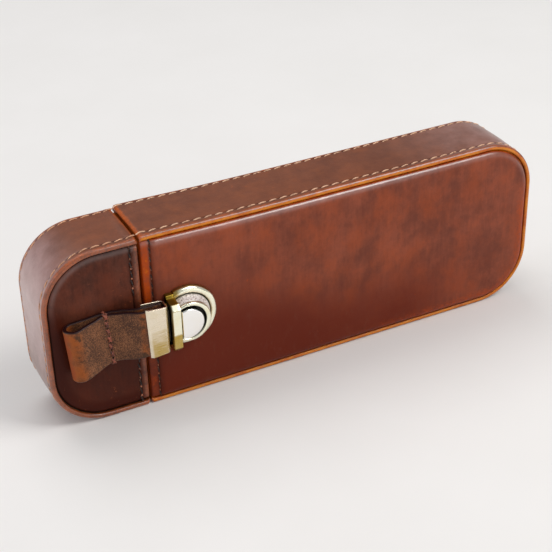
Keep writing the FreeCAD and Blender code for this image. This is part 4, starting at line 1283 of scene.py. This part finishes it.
# %% A finish
class Finish(Board):
    """A material with one Principled shader."""

    def __init__(self, name, **constants):
        self.material = bpy.data.materials.new(name)
        self.material.use_nodes = True
        super().__init__(self.material.node_tree)
        self.shader = self.tree.nodes["Principled BSDF"]
        for key, value in constants.items():
            self.shader.inputs[key.replace("_", " ")].default_value = value
        self.place = self.node("ShaderNodeTexCoord", output="Object")

    def mask(self, name):
        """A mask that the mesh carries, 0 where it has none."""
        return self.node("ShaderNodeAttribute", output="Fac", attribute_name=name)

    def noise(self, size, detail=3.0, stretch=(1, 1, 1), rough=0.55):
        """Soft noise whose patches are about `size` millimetres, longer where stretch is larger."""
        frequency = tuple(1 / (size * MM * long) for long in stretch)
        spot = self.node("ShaderNodeMapping", {"Vector": self.place, "Scale": frequency})
        return self.node("ShaderNodeTexNoise", {"Vector": spot, "Scale": 1.0, "Detail": detail,
                                                "Roughness": rough})

    def pebbles(self, size):
        """Small rounded cells, 0 at their middles."""
        spot = self.node("ShaderNodeMapping",
                         {"Vector": self.place, "Scale": (1 / (size * MM),) * 3})
        return self.node("ShaderNodeTexVoronoi", {"Vector": spot, "Scale": 1.0})

    def mix(self, share, first, second):
        """From the first colour to the second."""
        return self.node("ShaderNodeMix", {"Factor": share, 6: first, 7: second}, output=2,
                         data_type="RGBA")

    def done(self, colour, roughness, height=None, depth=0.1, metallic=None):
        """Feed the shader. Depth is the height of the relief in millimetres."""
        for key, value in (("Base Color", colour), ("Roughness", roughness),
                           ("Metallic", metallic)):
            if value is not None:
                self.tree.links.new(value.socket, self.shader.inputs[key])
        if height is not None:
            relief = self.node("ShaderNodeBump", {"Height": height, "Distance": depth * MM,
                                                  "Strength": 1.0})
            self.tree.links.new(relief.socket, self.shader.inputs["Normal"])
        print(f"{self.material.name}: {len(self.tree.nodes)} nodes")
        return self.material


# %% [markdown]
# ## Leather
#
# Waxed leather is never one colour: dye takes unevenly, wax smears, grain scratches and edges
# wear through. A picture of leather would repeat itself and need the piece unwrapped, so this
# finish mixes noise of several sizes on Object coordinates, which runs on across all pieces.
# The masks say where the leather is worn, where shade is painted into grooves, valleys and holes,
# where shade is painted over the fronts' lower parts, and where a pale sheen is painted over the
# bands' far ends, and the noise says how raggedly. A clear coat on the polished places gives their
# shine.


# %% Leather
def leather(name, face, deep, glow, painted_light_tone, worn, rubbed, stain_and_shade, gloss, scratches=0.3,
            **constants):
    """Waxed leather: mottled face, amber wear, dark stains, painted shade and a painted pale sheen
    from the masks, small scuffs and a fine grain.
    """
    finish = Finish(name, Coat_Roughness=0.3, Coat_IOR=2.2, **constants)
    wear, dark, painted_light = finish.mask("wear"), finish.mask("dark"), finish.mask("painted_light")
    cloud, patch = finish.noise(22, 3), finish.noise(6, 5, rough=0.65)
    fine = finish.noise(0.9, 4)
    streaks = finish.noise(1.4, 4, stretch=(1, 1, 8), rough=0.65)
    blotch = cloud * 0.9 + patch * 0.7 + streaks * 0.45 + fine * 0.25 - 0.67
    colour = finish.mix(blotch.step(0.15, 0.82), deep, face)
    warm = finish.noise(11, 5, stretch=(1, 1, 1.5), rough=0.65).step(0.38, 0.74)
    colour = finish.mix(warm * 0.5, colour, glow)
    # Painted shade on the fronts, and a painted pale sheen on the bands.
    painted_light_share = painted_light + (patch - 0.5) * 0.4 * painted_light.step(0.02, 0.3)
    colour = finish.mix(painted_light_share.step(0.0, 1.0), colour, painted_light_tone)
    lines = (finish.noise(0.5, 2, stretch=(1, 1, 30)) * 0.5
             + finish.noise(0.4, 2, stretch=(24, 1, 1)) * 0.5)
    thin = lines.step(0.6, 0.7) * finish.noise(9, 2).step(0.5, 0.65)
    colour = finish.mix(thin * scratches, colour, stain_and_shade)
    scuffs = finish.noise(1.5, 5, rough=0.7).step(0.62, 0.7) * finish.noise(16).step(0.5, 0.64)
    colour = finish.mix(scuffs * 0.6, colour, rubbed)
    grime = finish.noise(2.6, 5, stretch=(1, 1, 2.5), rough=0.7).step(0.54, 0.7)
    colour = finish.mix(grime * scratches, colour, deep)
    edge = (wear + (fine + patch - 1.0) * 0.7 * wear.step(0.02, 0.3)).step(0.12, 0.8)
    colour = finish.mix(edge, colour, rubbed)
    bare = (wear + (patch - 0.5) * 0.9 + (fine - 0.5) * 0.4).step(0.68, 1.0)
    colour = finish.mix(bare, colour, worn)
    # Painted shade in grooves, valleys and holes.
    shade = dark + (patch - 0.5) * 0.35 * dark.step(0.02, 0.3) * (1 - dark.step(0.75, 1.0))
    colour = finish.mix(shade.step(0.0, 1.0) * 0.94, colour, stain_and_shade)
    relief = (1 - finish.pebbles(0.42)) * 0.5 + finish.noise(0.25, 3) * 0.6 + patch * 1.2
    shine = gloss + (fine - 0.5) * 0.16 + (patch - 0.5) * 0.14 + dark * 0.12
    coat = finish.mask("polish") * (1 - dark) * (1 - wear * 0.8) * (0.8 + (patch - 0.5) * 0.8)
    finish.tree.links.new(coat.socket, finish.shader.inputs["Coat Weight"])
    return finish.done(colour, shine, relief, 0.05)


# %% Four leathers
# The painted light tone is painted shade on the two fronts and a painted pale sheen on the bands.
front_leather = leather(
    "front leather", face=tone(149, 77, 54), deep=tone(108, 54, 39), glow=tone(168, 76, 35),
    painted_light_tone=tone(101, 31, 8), worn=tone(224, 130, 14), rubbed=tone(176, 67, 2),
    stain_and_shade=tone(34, 9, 3), gloss=0.37, Specular_IOR_Level=0.15)
cap_leather = leather(
    "cap front leather", face=tone(98, 53, 39), deep=tone(58, 29, 21), glow=tone(123, 55, 31),
    painted_light_tone=tone(66, 18, 4), worn=tone(210, 130, 60), rubbed=tone(168, 88, 46),
    stain_and_shade=tone(18, 5, 3), gloss=0.34, scratches=0.5, Specular_IOR_Level=0.12)
band_skin = leather(
    "band leather", face=tone(124, 68, 42), deep=tone(100, 52, 31), glow=tone(142, 76, 40),
    painted_light_tone=tone(190, 152, 148), worn=tone(216, 130, 14), rubbed=tone(190, 88, 18),
    stain_and_shade=tone(34, 11, 5), gloss=0.38, scratches=0.2, Specular_IOR_Level=0.2)
edge_skin = leather(
    "turned edge leather", face=tone(140, 70, 30), deep=tone(96, 44, 20), glow=tone(160, 84, 34),
    painted_light_tone=tone(70, 26, 10), worn=tone(220, 130, 36), rubbed=tone(180, 90, 26),
    stain_and_shade=tone(36, 13, 6), gloss=0.45, scratches=0.1, Specular_IOR_Level=0.2)


# %% [markdown]
# ## The strap's leather, cloth and thread
#
# The strap is leather with its nap outside, so it is matt and specked where the dark dye has rubbed
# off, amber where it folds, and its cut edges are burnished purple-black; painted shade darkens its
# stitch valleys. The lining is short-piled suede, and a faint sheen makes it soft where a plain
# matt colour would look like paint. Thread is too thin for a modelled twist: fine noise in its
# colour and relief reads as waxed plies, and the pale patches of that colour are painted
# highlights.


# %% Strap leather
def strap_finish():
    """Napped dark leather with orange specks, amber at its fold, edges burnished purple-black."""
    finish = Finish("strap leather", Specular_IOR_Level=0.3)
    wear, dark, edge = finish.mask("wear"), finish.mask("dark"), finish.mask("edge")
    cloud, fine = finish.noise(6, 4), finish.noise(0.45, 4, rough=0.75)
    specks = (fine + (cloud - 0.5) * 0.35).step(0.42, 0.66)
    colour = finish.mix(specks, tone(72, 43, 27), tone(148, 96, 62))
    bright_specks = (fine * 0.8 + cloud * 0.3).step(0.66, 0.8)
    colour = finish.mix(bright_specks * 0.5, colour, tone(174, 126, 92))
    fold = (wear + (cloud - 0.5) * 0.7 + (fine - 0.5) * 0.3).step(0.1, 0.85)
    colour = finish.mix(fold * (0.55 + cloud.step(0.38, 0.6) * 0.45), colour, tone(156, 78, 18))
    colour = finish.mix((wear + (cloud - 0.5) * 0.2).step(0.92, 1.0), colour, tone(146, 66, 22))
    smudge = finish.noise(2.4, 4).step(0.53, 0.66)
    smudge = smudge * wear.step(0.08, 0.3) * (1 - wear.step(0.6, 0.9))
    colour = finish.mix(smudge * 0.8, colour, tone(50, 36, 20))
    # Painted shade in the stitch valleys.
    colour = finish.mix(dark.step(0.25, 1.0) * 0.9, colour, tone(26, 10, 8))
    colour = finish.mix(edge.step(0.4, 0.9), colour, tone(38, 14, 15))
    gloss = 0.66 - edge * 0.36 + (fine - 0.5) * 0.2
    return finish.done(colour, gloss, fine + finish.noise(0.2, 2) * 0.5, 0.07)


# %% Cloth and thread
def cloth(name, pale, deep, size):
    """Short-piled cloth."""
    finish = Finish(name, Specular_IOR_Level=0.25, Sheen_Weight=0.3)
    cloud, pile = finish.noise(9, 4), finish.noise(size, 3, rough=0.75)
    colour = finish.mix(cloud * 0.6 + pile * 0.6 - 0.1, deep, pale)
    return finish.done(colour, 0.8 + (pile - 0.5) * 0.2, pile, 0.12)


def waxed_thread(name, deep, shine, cover):
    """Waxed thread with twisted plies; its pale patches are painted highlights along their backs.
    """
    finish = Finish(name, Specular_IOR_Level=0.5)
    plies = finish.noise(0.22, 2)
    patches = finish.noise(1.3, 2)
    colour = finish.mix((plies * 0.6 + patches * 0.9).step(0.9 - cover, 1.15 - cover), deep, shine)
    return finish.done(colour, 0.4 + plies * 0.15, plies, 0.06)


def needle_hole(name, deep, pale):
    """A bead's finish: painted shade in a needle hole, plain leather between band stitches, or a
    painted pale glint between face stitches.
    """
    finish = Finish(name, Specular_IOR_Level=0.1)
    grain = finish.noise(0.3, 2)
    return finish.done(finish.mix(grain, deep, pale), grain * 0.1 + 0.6)


# %% The strap's, cloth's and thread's finishes
strap_skin = strap_finish()
suede = cloth("lining suede", tone(122, 92, 70), tone(86, 60, 44), 0.35)
velvet = cloth("tray velvet", tone(86, 62, 50), tone(54, 36, 28), 0.3)
board = cloth("fibre board", tone(120, 96, 72), tone(92, 70, 50), 0.8)
tan_thread = waxed_thread("tan thread", tone(104, 58, 36), tone(226, 182, 148), 0.42)
brown_thread = waxed_thread("brown thread", tone(84, 42, 26), tone(214, 160, 124), 0.42)
dark_thread = waxed_thread("dark thread", tone(34, 14, 9), tone(176, 112, 84), 0.12)
strap_thread = waxed_thread("strap thread", tone(56, 20, 12), tone(150, 78, 54), 0.3)
needle_shade = needle_hole("needle hole", tone(22, 9, 6), tone(40, 18, 12))
band_gap = needle_hole("leather between band stitches", tone(96, 50, 34), tone(150, 84, 60))
# The pale bead between face stitches is a painted glint.
face_glint = needle_hole("painted glint between face stitches", tone(150, 84, 58), tone(220, 150, 120))


# %% [markdown]
# ## Brass
#
# The fittings are old brass: nearly white where hands polish it, golden brown where they don't
# reach, and grey and rough where the casting was never finished. Golden brown is also a painted
# reflection, of the leather and of darker things in front, on the lower part of the metal end and
# the bar, and near black is painted shade in the lock's hollows, the slot and the gaps. A plain
# metal colour can't be all of these, so the finish mixes them by the masks and stretches fine noise
# into brush marks. One function makes the cast, brushed and polished brass, and the plated steel
# behind them.


# %% Metal
def brass(name, bright, aged, brush=(1, 1, 1), gloss=0.3, relief=0.012):
    """Old brass: bright where it is rubbed, gold and brown where it tarnished or was cast or where
    a reflection is painted, and near black where shade is painted.
    """
    finish = Finish(name, Metallic=1.0)
    dark, rough, tarnish_and_reflection = finish.mask("dark"), finish.mask("rough"), finish.mask("tarnish_and_reflection")
    cloud = finish.noise(4, 4)
    brushed = finish.noise(0.16, 3, stretch=brush)
    cast = finish.noise(0.5, 4, rough=0.7)
    colour = finish.mix(cloud.step(0.4, 0.8) * 0.35 + (brushed - 0.5) * 0.3, bright, aged)
    # The tarnish mask is golden brown tarnish in hollows and, on the metal end and the bar, a
    # painted reflection.
    ragged = tarnish_and_reflection.step(0.02, 0.3)
    dull = tarnish_and_reflection + (brushed - 0.5) * ragged + (cloud - 0.5) * 0.3 * ragged
    dull = dull.step(0.1, 1.0)
    colour = finish.mix(dull, colour, tone(182, 150, 52))
    colour = finish.mix(rough * 0.9, colour, tone(250, 240, 240))
    flecks = rough * cast.step(0.5, 0.6)
    colour = finish.mix(flecks * 0.7, colour, tone(126, 92, 54))
    # Painted shade in the lock's hollows, the slot and the gaps.
    colour = finish.mix(dark * 0.96, colour, tone(22, 14, 5))
    shine = gloss + (brushed - 0.5) * 0.2 + rough * 0.2 + dark * 0.3 + tarnish_and_reflection * 0.06
    height = brushed * (1 - rough) * 0.5 + cast * rough * 8
    return finish.done(colour, shine, height, relief, 1 - rough * 0.6)


cast_brass = brass("cast brass", tone(254, 253, 230), tone(236, 220, 150), gloss=0.2,
                   relief=0.02)
brushed_brass = brass("brushed brass", tone(238, 226, 204), tone(214, 198, 150),
                      brush=(22, 1, 1), gloss=0.26)
polished_brass = brass("polished brass", tone(254, 253, 250), tone(250, 247, 236), gloss=0.16,
                       relief=0.006)
plain_steel = brass("plated steel", tone(190, 190, 188), tone(150, 148, 142), gloss=0.35)

# %% [markdown]
# ## Stitches
#
# Every seam is sewn with thick waxed thread. An Array on a curve would bend the stitches and can't
# vary them, so Geometry Nodes make the rows: a tree walks along a line on the leather, drops a
# short bowed stitch at each pitch and turns it to lie on the surface with a slant. A flat bead
# between two stitches is painted shade for the needle hole, a bead of plain leather on the bands,
# or a painted pale glint on the faces.


# %% Inputs of the stitch tree
STITCH_SIZES = {"Pitch": 0.0044, "Length": 0.0036, "Rise": 0.0002, "Thread": 0.0003,
                "Slant": 0.2, "Wobble": 0.06, "Hole": 0.0004}       # metres and radians
STITCH_ANGLES = ("Slant", "Wobble")
longest_row = 10.0      # metres


def stitch_inputs(tree):
    face = tree.interface
    face.new_socket("Geometry", in_out="INPUT", socket_type="NodeSocketGeometry")
    for key, value in STITCH_SIZES.items():
        face.new_socket(key, in_out="INPUT", socket_type="NodeSocketFloat").default_value = value
    face.new_socket("Seed", in_out="INPUT", socket_type="NodeSocketInt")
    for key in ("Thread material", "Hole material"):
        face.new_socket(key, in_out="INPUT", socket_type="NodeSocketMaterial")
    face.new_socket("Geometry", in_out="OUTPUT", socket_type="NodeSocketGeometry")
    board = Board(tree)
    inputs = tree.nodes.new("NodeGroupInput").outputs
    return board, {item.name: Value(board, item) for item in inputs if item.name}


def point(board, x=0.0, y=0.0, z=0.0):
    """A vector of three values."""
    return board.node("ShaderNodeCombineXYZ", {0: x, 1: y, 2: z})


# %% One stitch and one bead
def bowed_stitch(board, given):
    """A short thread that bows up between its two ends, which lie under the leather."""
    reach = given["Length"] * 0.5
    sink = given["Thread"] * -1.2
    bow = board.node("GeometryNodeCurveQuadraticBezier", {
        "Resolution": 8, "Start": point(board, -reach, 0.0, sink),
        "End": point(board, reach, 0.0, sink),
        "Middle": point(board, 0.0, 0.0, given["Rise"] * 2 + given["Thread"])})
    ring = board.node("GeometryNodeCurvePrimitiveCircle",
                      {"Resolution": 7, "Radius": given["Thread"]})
    thread = board.node("GeometryNodeCurveToMesh",
                        {"Curve": bow, "Profile Curve": ring, "Fill Caps": True})
    return board.node("GeometryNodeSetShadeSmooth", {"Geometry": thread})


def flat_bead(board, given):
    """What shows between two stitches: a low bead of painted shade, of leather, or of a painted
    glint.
    """
    ball = board.node("GeometryNodeMeshUVSphere",
                      {"Segments": 8, "Rings": 5, "Radius": given["Hole"]})
    return board.node("GeometryNodeTransform",
                      {"Geometry": ball, "Scale": point(board, 1.0, 0.75, 0.3)})


# %% Along a line
def scattered(board, given, line, instance, slanted, material):
    """An instance at each pitch of a line, turned along it and out of the leather."""
    spots = board.node("GeometryNodeCurveToPoints",
                       {"Curve": line, "Length": given["Pitch"]}, mode="LENGTH")
    tangent = Value(board, spots.socket.node.outputs["Tangent"])
    out = board.node("GeometryNodeInputNamedAttribute", {"Name": "out"},
                     data_type="FLOAT_VECTOR")
    along = board.node("FunctionNodeAlignRotationToVector", {"Vector": tangent}, axis="X")
    turn = board.node("FunctionNodeAlignRotationToVector",
                      {"Rotation": along, "Vector": out}, axis="Z", pivot_axis="X")
    if slanted:
        wobble = board.node("FunctionNodeRandomValue",
                            {2: -given["Wobble"], 3: given["Wobble"], "Seed": given["Seed"]},
                            output=1, data_type="FLOAT")
        spin = board.node("FunctionNodeEulerToRotation",
                          {0: point(board, 0.0, 0.0, given["Slant"] + wobble)})
        turn = board.node("FunctionNodeRotateRotation", {0: turn, 1: spin},
                          rotation_space="LOCAL")
    placed = board.node("GeometryNodeInstanceOnPoints",
                        {"Points": spots, "Instance": instance, "Rotation": turn})
    real = board.node("GeometryNodeRealizeInstances", {"Geometry": placed})
    return board.node("GeometryNodeSetMaterial", {"Geometry": real, "Material": given[material]})


# %% Stitch tree
def stitch_tree():
    """Rows of stitches, with holes or leather between them, along the lines of a mesh."""
    tree = bpy.data.node_groups.new("stitch row", "GeometryNodeTree")
    board, given = stitch_inputs(tree)
    curve = board.node("GeometryNodeMeshToCurve", {"Mesh": given["Geometry"]})
    between = board.node("GeometryNodeTrimCurve",
                         {0: curve, 4: given["Pitch"] * 0.5, 5: longest_row}, mode="LENGTH")
    threads = scattered(board, given, curve, bowed_stitch(board, given), True,
                        "Thread material")
    beads = scattered(board, given, between, flat_bead(board, given), False, "Hole material")
    both = tree.nodes.new("GeometryNodeJoinGeometry")
    result = tree.nodes.new("NodeGroupOutput")
    tree.links.new(beads.socket, both.inputs[0])
    tree.links.new(threads.socket, both.inputs[0])
    tree.links.new(both.outputs[0], result.inputs[0])
    return tree


stitch_group = stitch_tree()


# %% Sewing
def sewn(name, rows, body, slot, thread, gap, **sizes):
    """Sew rows of stitches. Each row holds points and the directions out of the leather."""
    points, edges, outs = [], [], []
    for spots, directions in rows:
        start = len(points)
        points += (np.asarray(spots) * MM).tolist()
        outs += np.asarray(directions).tolist()
        edges += [(start + i, start + i + 1) for i in range(len(spots) - 1)]
    mesh = bpy.data.meshes.new(name)
    mesh.from_pydata(points, edges, [])
    layer = mesh.attributes.new("out", "FLOAT_VECTOR", "POINT")
    layer.data.foreach_set("vector", np.asarray(outs, np.float32).ravel())
    guide = bpy.data.objects.new(name, mesh)
    bpy.context.scene.collection.objects.link(guide)
    modifier = guide.modifiers.new("stitches", "NODES")
    modifier.node_group = stitch_group
    values = {"Thread material": thread, "Hole material": gap, "Seed": 7}
    values |= {key: value if key in STITCH_ANGLES else value * MM
               for key, value in sizes.items()}
    for item in stitch_group.interface.items_tree:
        if item.in_out == "INPUT" and item.name in values:
            modifier[item.identifier] = values[item.name]
    bpy.context.view_layer.update()
    graph = bpy.context.evaluated_depsgraph_get()
    stitches = bpy.data.meshes.new_from_object(guide.evaluated_get(graph), depsgraph=graph)
    guide.modifiers.clear()
    guide.data = stitches
    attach(guide, body)
    print(f"{name}: {len(stitches.polygons)} faces")


# %% [markdown]
# ## Where the rows run
#
# A row lies on leather that swells, sinks into valleys and hangs, so its line comes from the
# same functions as that leather and can't float above it. Shrinkwrap could press a straight
# line on, but it would lose the even pitch. Each row is a list of points with the directions
# that point out of the leather there.


# %% Stitch rows on the band
def band_row(mouth, end, lift, body):
    """Points and directions of a row that runs round the band."""
    path = outline(mouth, end, 0.0, corner_radius, 0.5)
    total = path[-1, 4]
    walked = np.arange(row_start, total - row_start, 0.25)
    x, z, dx, dz = (np.interp(walked, path[:, 4], path[:, i]) for i in range(4))
    to_mouth = np.minimum(walked, total - walked)
    inset = crown_inset(lift, walked, to_mouth, total, smooth_step(dz, 0.6, 0.95))
    spots = np.stack([x + dx * inset, np.full_like(x, lift), z + dz * inset], -1)
    return swell(spots, body), np.stack([-dx, 0 * x, -dz], -1)


for name, body, mouth, end, thread in (
    ("body_band_stitches", "case_body", body_mouth, body_end, tan_thread),
    ("cap_band_stitches", "cap", cap_mouth, cap_end, brown_thread),
):
    sewn(name, [band_row(mouth, end, lift, body)
                for lift in (front_row - rim_lift, rim_lift - back_row)],
         body, "case_leather", thread, band_gap, Pitch=stitch_pitch, Length=3.9, Rise=0.18,
         Thread=0.28, Slant=0.16)


# %% Stitch rows on the faces
def upright_row(x, y, out, low_step, high_step, body):
    """A row up a face, with one stitch at the middle of the case's height."""
    steps = np.linspace(low_step, high_step, 8 * (high_step - low_step) + 1)
    z = middle_z + front_row_pitch * steps
    spots = np.stack([np.full_like(z, x), np.full_like(z, y), z], -1)
    return swell(spots, body), np.repeat([[0.0, out, 0.0]], len(z), 0)


body_row_y = -(strip_lift - 0.12)       # a row's line lies a little under its leather's face
cap_row_y = -(cap_face + 0.2)           # here under the turned strip, which is higher
hinge_sink = 0.15
row_steps = 9           # pitches above and below the middle
hidden_steps = 4        # of these, the ones that the strap hides on the cap
hinge_body_x, hinge_cap_x = strip_high.x - hinge_row, strip_low.x + hinge_row
FACE_ROWS = (
    ("body_face_stitches", "case_body",
     [upright_row(body_mouth + strip_width, body_row_y, -1, -row_steps, row_steps,
                  "case_body")]),
    ("cap_face_stitches", "cap",
     [upright_row(cap_mouth - cap_row, cap_row_y, -1, low, high, "cap")
      for low, high in ((-row_steps, -hidden_steps), (hidden_steps, row_steps))]),
    ("hinge_body_stitches", "case_body",
     [upright_row(hinge_body_x, hinge_lift + hinge_swell(hinge_body_x) - hinge_sink, 1,
                  -row_steps, row_steps, "")]),
    ("hinge_cap_stitches", "cap",
     [upright_row(hinge_cap_x, hinge_lift - hinge_sink, 1, -row_steps, row_steps, "")]),
)
for name, body, rows in FACE_ROWS:
    sewn(name, rows, body, "case_leather", dark_thread, face_glint, Pitch=front_row_pitch,
         Length=3.2, Rise=0.18, Thread=0.29, Slant=0.22, Hole=0.5)

# %% Stitches on the strap
across = strap_pitch * np.linspace(-3, 3, 49)
row_x, row_z = hanging(np.full_like(across, stitch_x), across)
row_sink = 0.16         # the row lies this deep in the upper layer
row_lift = cap_face + strap_clearance + 2 * strap_leather + layers_apart - row_sink
row_out = np.repeat([[0.0, -1.0, 0.0]], len(across), 0)
strap_row = np.stack([row_x, np.full_like(across, -row_lift), row_z], -1)
for name, slant, length in (("strap_stitches", 0.5, 3.0), ("strap_cross_stitches", -0.42, 2.5)):
    sewn(name, [(strap_row, row_out)], "cap", "strap_leather", strap_thread, needle_shade,
         Pitch=strap_pitch, Length=length, Rise=0.36, Thread=0.45, Slant=slant)
knot_spots = 9
knot_across = strap_half_widths[1][1] - 0.15       # just inside the strap's upper edge
knot_x, knot_z = hanging(np.full(knot_spots, stitch_x), np.full(knot_spots, knot_across))
knot_lift = np.linspace(row_lift - 0.3, row_lift - 2.7, knot_spots)
knot_out = np.repeat([[0.0, 0, 1.0]], knot_spots, 0)
sewn("strap_knots", [(np.stack([knot_x, -knot_lift, knot_z], -1), knot_out)], "cap",
     "strap_leather", strap_thread, needle_shade, Pitch=0.8, Length=1.5, Rise=0.2, Thread=0.4,
     Slant=0.8)

# %% [markdown]
# ## Putting the finishes on
#
# Each dressed piece takes its finish by name. CAD nodes whose shape is right as it is, such
# as the inner board and the pins, keep their mesh and only get a better material.

# %% Dress every piece
FINISHES = {
    front_leather: ("body_front",), cap_leather: ("cap_front",),
    band_skin: ("body_band", "cap_band", "body_back", "cap_back", "hinge_leather"),
    edge_skin: ("body_turned_edge", "cap_turned_edge", "collar_leather"),
    strap_skin: ("strap_loop", "tab_leather"), suede: ("body_suede", "cap_suede"),
    velvet: ("channel_bed", "trough_cloth"), brushed_brass: ("metal_end",),
    cast_brass: ("lock_housing", "lock_bar"), polished_brass: ("press_button",),
}
CAD_FINISHES = {
    board: ("body_board_shell", "cap_board_shell"),
    cast_brass: ("lock_base",), brushed_brass: ("clip_pins",),
    plain_steel: ("lock_backplate", "lock_catch", "lock_spring"),
}
for material, names in FINISHES.items():
    for name in names:
        mesh = bpy.data.objects[name].data
        mesh.materials.clear()
        mesh.materials.append(material)
for material, names in CAD_FINISHES.items():
    for name in names:
        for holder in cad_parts[name].material_slots:
            holder.material = material
shown = [name for name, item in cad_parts.items() if not item.hide_render]
print("CAD nodes that still show:", sorted(shown))

# %% [markdown]
# ## Stage, light and camera
#
# The case stands on a wide pale table. A soft window card on the right lights it, with a card
# overhead and weaker ones at the left and in front. One big world light would be simpler, but it
# would flatten the leather and the brass. There is no wall behind, so both mirror darker
# surroundings and keep their depth. The cards are near and light only the table close by, so the
# table's far part is given a painted glow in its own material, which keeps it pale in low views.
# The camera stands where the photograph was taken, found from the case's known sizes.

# %% Stage
floor_size = 80.0
glow_from, glow_to = 0.5, 1.9       # distances from the case, in metres


def stage_mesh():
    """A plain floor."""
    half = floor_size / 2 / MM
    points = [(x, y, 0.0) for y in (-half, half) for x in (-half, half)]
    return build_mesh("table_top", points, grid_faces(2, 2))


pale = Finish("pale paper", Specular_IOR_Level=0.2, Emission_Strength=1.0)
away = pale.node("ShaderNodeVectorMath", {0: pale.place}, output="Value", operation="LENGTH")
# A painted glow: the table's far part emits light of its own.
distant_light = pale.mix(away.step(glow_from, glow_to), tone(0, 0, 0), tone(187, 187, 188))
pale.tree.links.new(distant_light.socket, pale.shader.inputs["Emission Color"])
paper = pale.done(pale.mix(pale.noise(60, 3), tone(236, 234, 231), tone(242, 240, 238)),
                  pale.noise(2.0) * 0.1 + 0.75)
table_top = bpy.data.objects.new("table_top", stage_mesh())
table_top.data.materials.append(paper)
bpy.context.scene.collection.objects.link(table_top)


# %% Lights
LIGHTS = (  # name, place and size in metres, power in watts, colour
    ("window", (0.55, -0.5, 0.95), 0.5, 6.5, (1.0, 0.99, 0.975)),
    ("overhead", (-0.15, 0.6, 1.2), 0.9, 5.5, (1.0, 0.99, 0.98)),
    ("left_fill", (-1.0, 0.1, 0.4), 0.6, 2.5, (0.95, 0.93, 1.0)),
    ("front_card", (0.7, -1.2, 0.35), 0.9, 1.6, (1.0, 1.0, 1.0)),
)
lit_point = Vector((0, 0, 0.03))
world_colour, world_strength = (0.93, 0.94, 0.96, 1.0), 0.4


def soft_light(name, place, size, power, colour):
    """A square soft light that faces the case."""
    light = bpy.data.lights.new(name, "AREA")
    light.shape = "SQUARE"
    light.size, light.energy, light.color = size, power, colour
    holder = bpy.data.objects.new(name, light)
    holder.location = place
    aim = lit_point - Vector(place)
    holder.rotation_euler = aim.to_track_quat("-Z", "Y").to_euler()
    bpy.context.scene.collection.objects.link(holder)


for row in LIGHTS:
    soft_light(*row)
world = bpy.data.worlds.new("studio")
world.use_nodes = True
background = world.node_tree.nodes["Background"]
background.inputs["Color"].default_value = world_colour
background.inputs["Strength"].default_value = world_strength
bpy.context.scene.world = world
bpy.context.scene.view_settings.view_transform = "Standard"
print(len(LIGHTS), "lights, world at", world_strength)

# %% Camera
photo_width = 552                   # pixels
focal_pixels = 1409.39
sensor = 36.0                       # millimetres
azimuth, elevation, roll = (math.radians(angle) for angle in (-26.13, 31.76, -1.40))
distance, target = 556.93, Vector((-5.66, 0.0, 32.10))      # millimetres

back = Vector((math.sin(azimuth) * math.cos(elevation),
               -math.cos(azimuth) * math.cos(elevation), math.sin(elevation)))
right = (-back).cross(Vector((0, 0, 1))).normalized()
up = right.cross(-back)
turned_right = math.cos(roll) * right + math.sin(roll) * up
turned_up = -math.sin(roll) * right + math.cos(roll) * up
lens = bpy.data.cameras.new("photo_view")
lens.sensor_width = sensor
lens.lens = focal_pixels * sensor / photo_width
lens.clip_start = 0.01
camera = bpy.data.objects.new("photo_view", lens)
turn = Matrix((turned_right, turned_up, back)).transposed().to_4x4()
camera.matrix_world = Matrix.Translation((target + back * distance) * MM) @ turn
bpy.context.scene.collection.objects.link(camera)
bpy.context.scene.camera = camera
print(f"lens {lens.lens:.2f} mm")
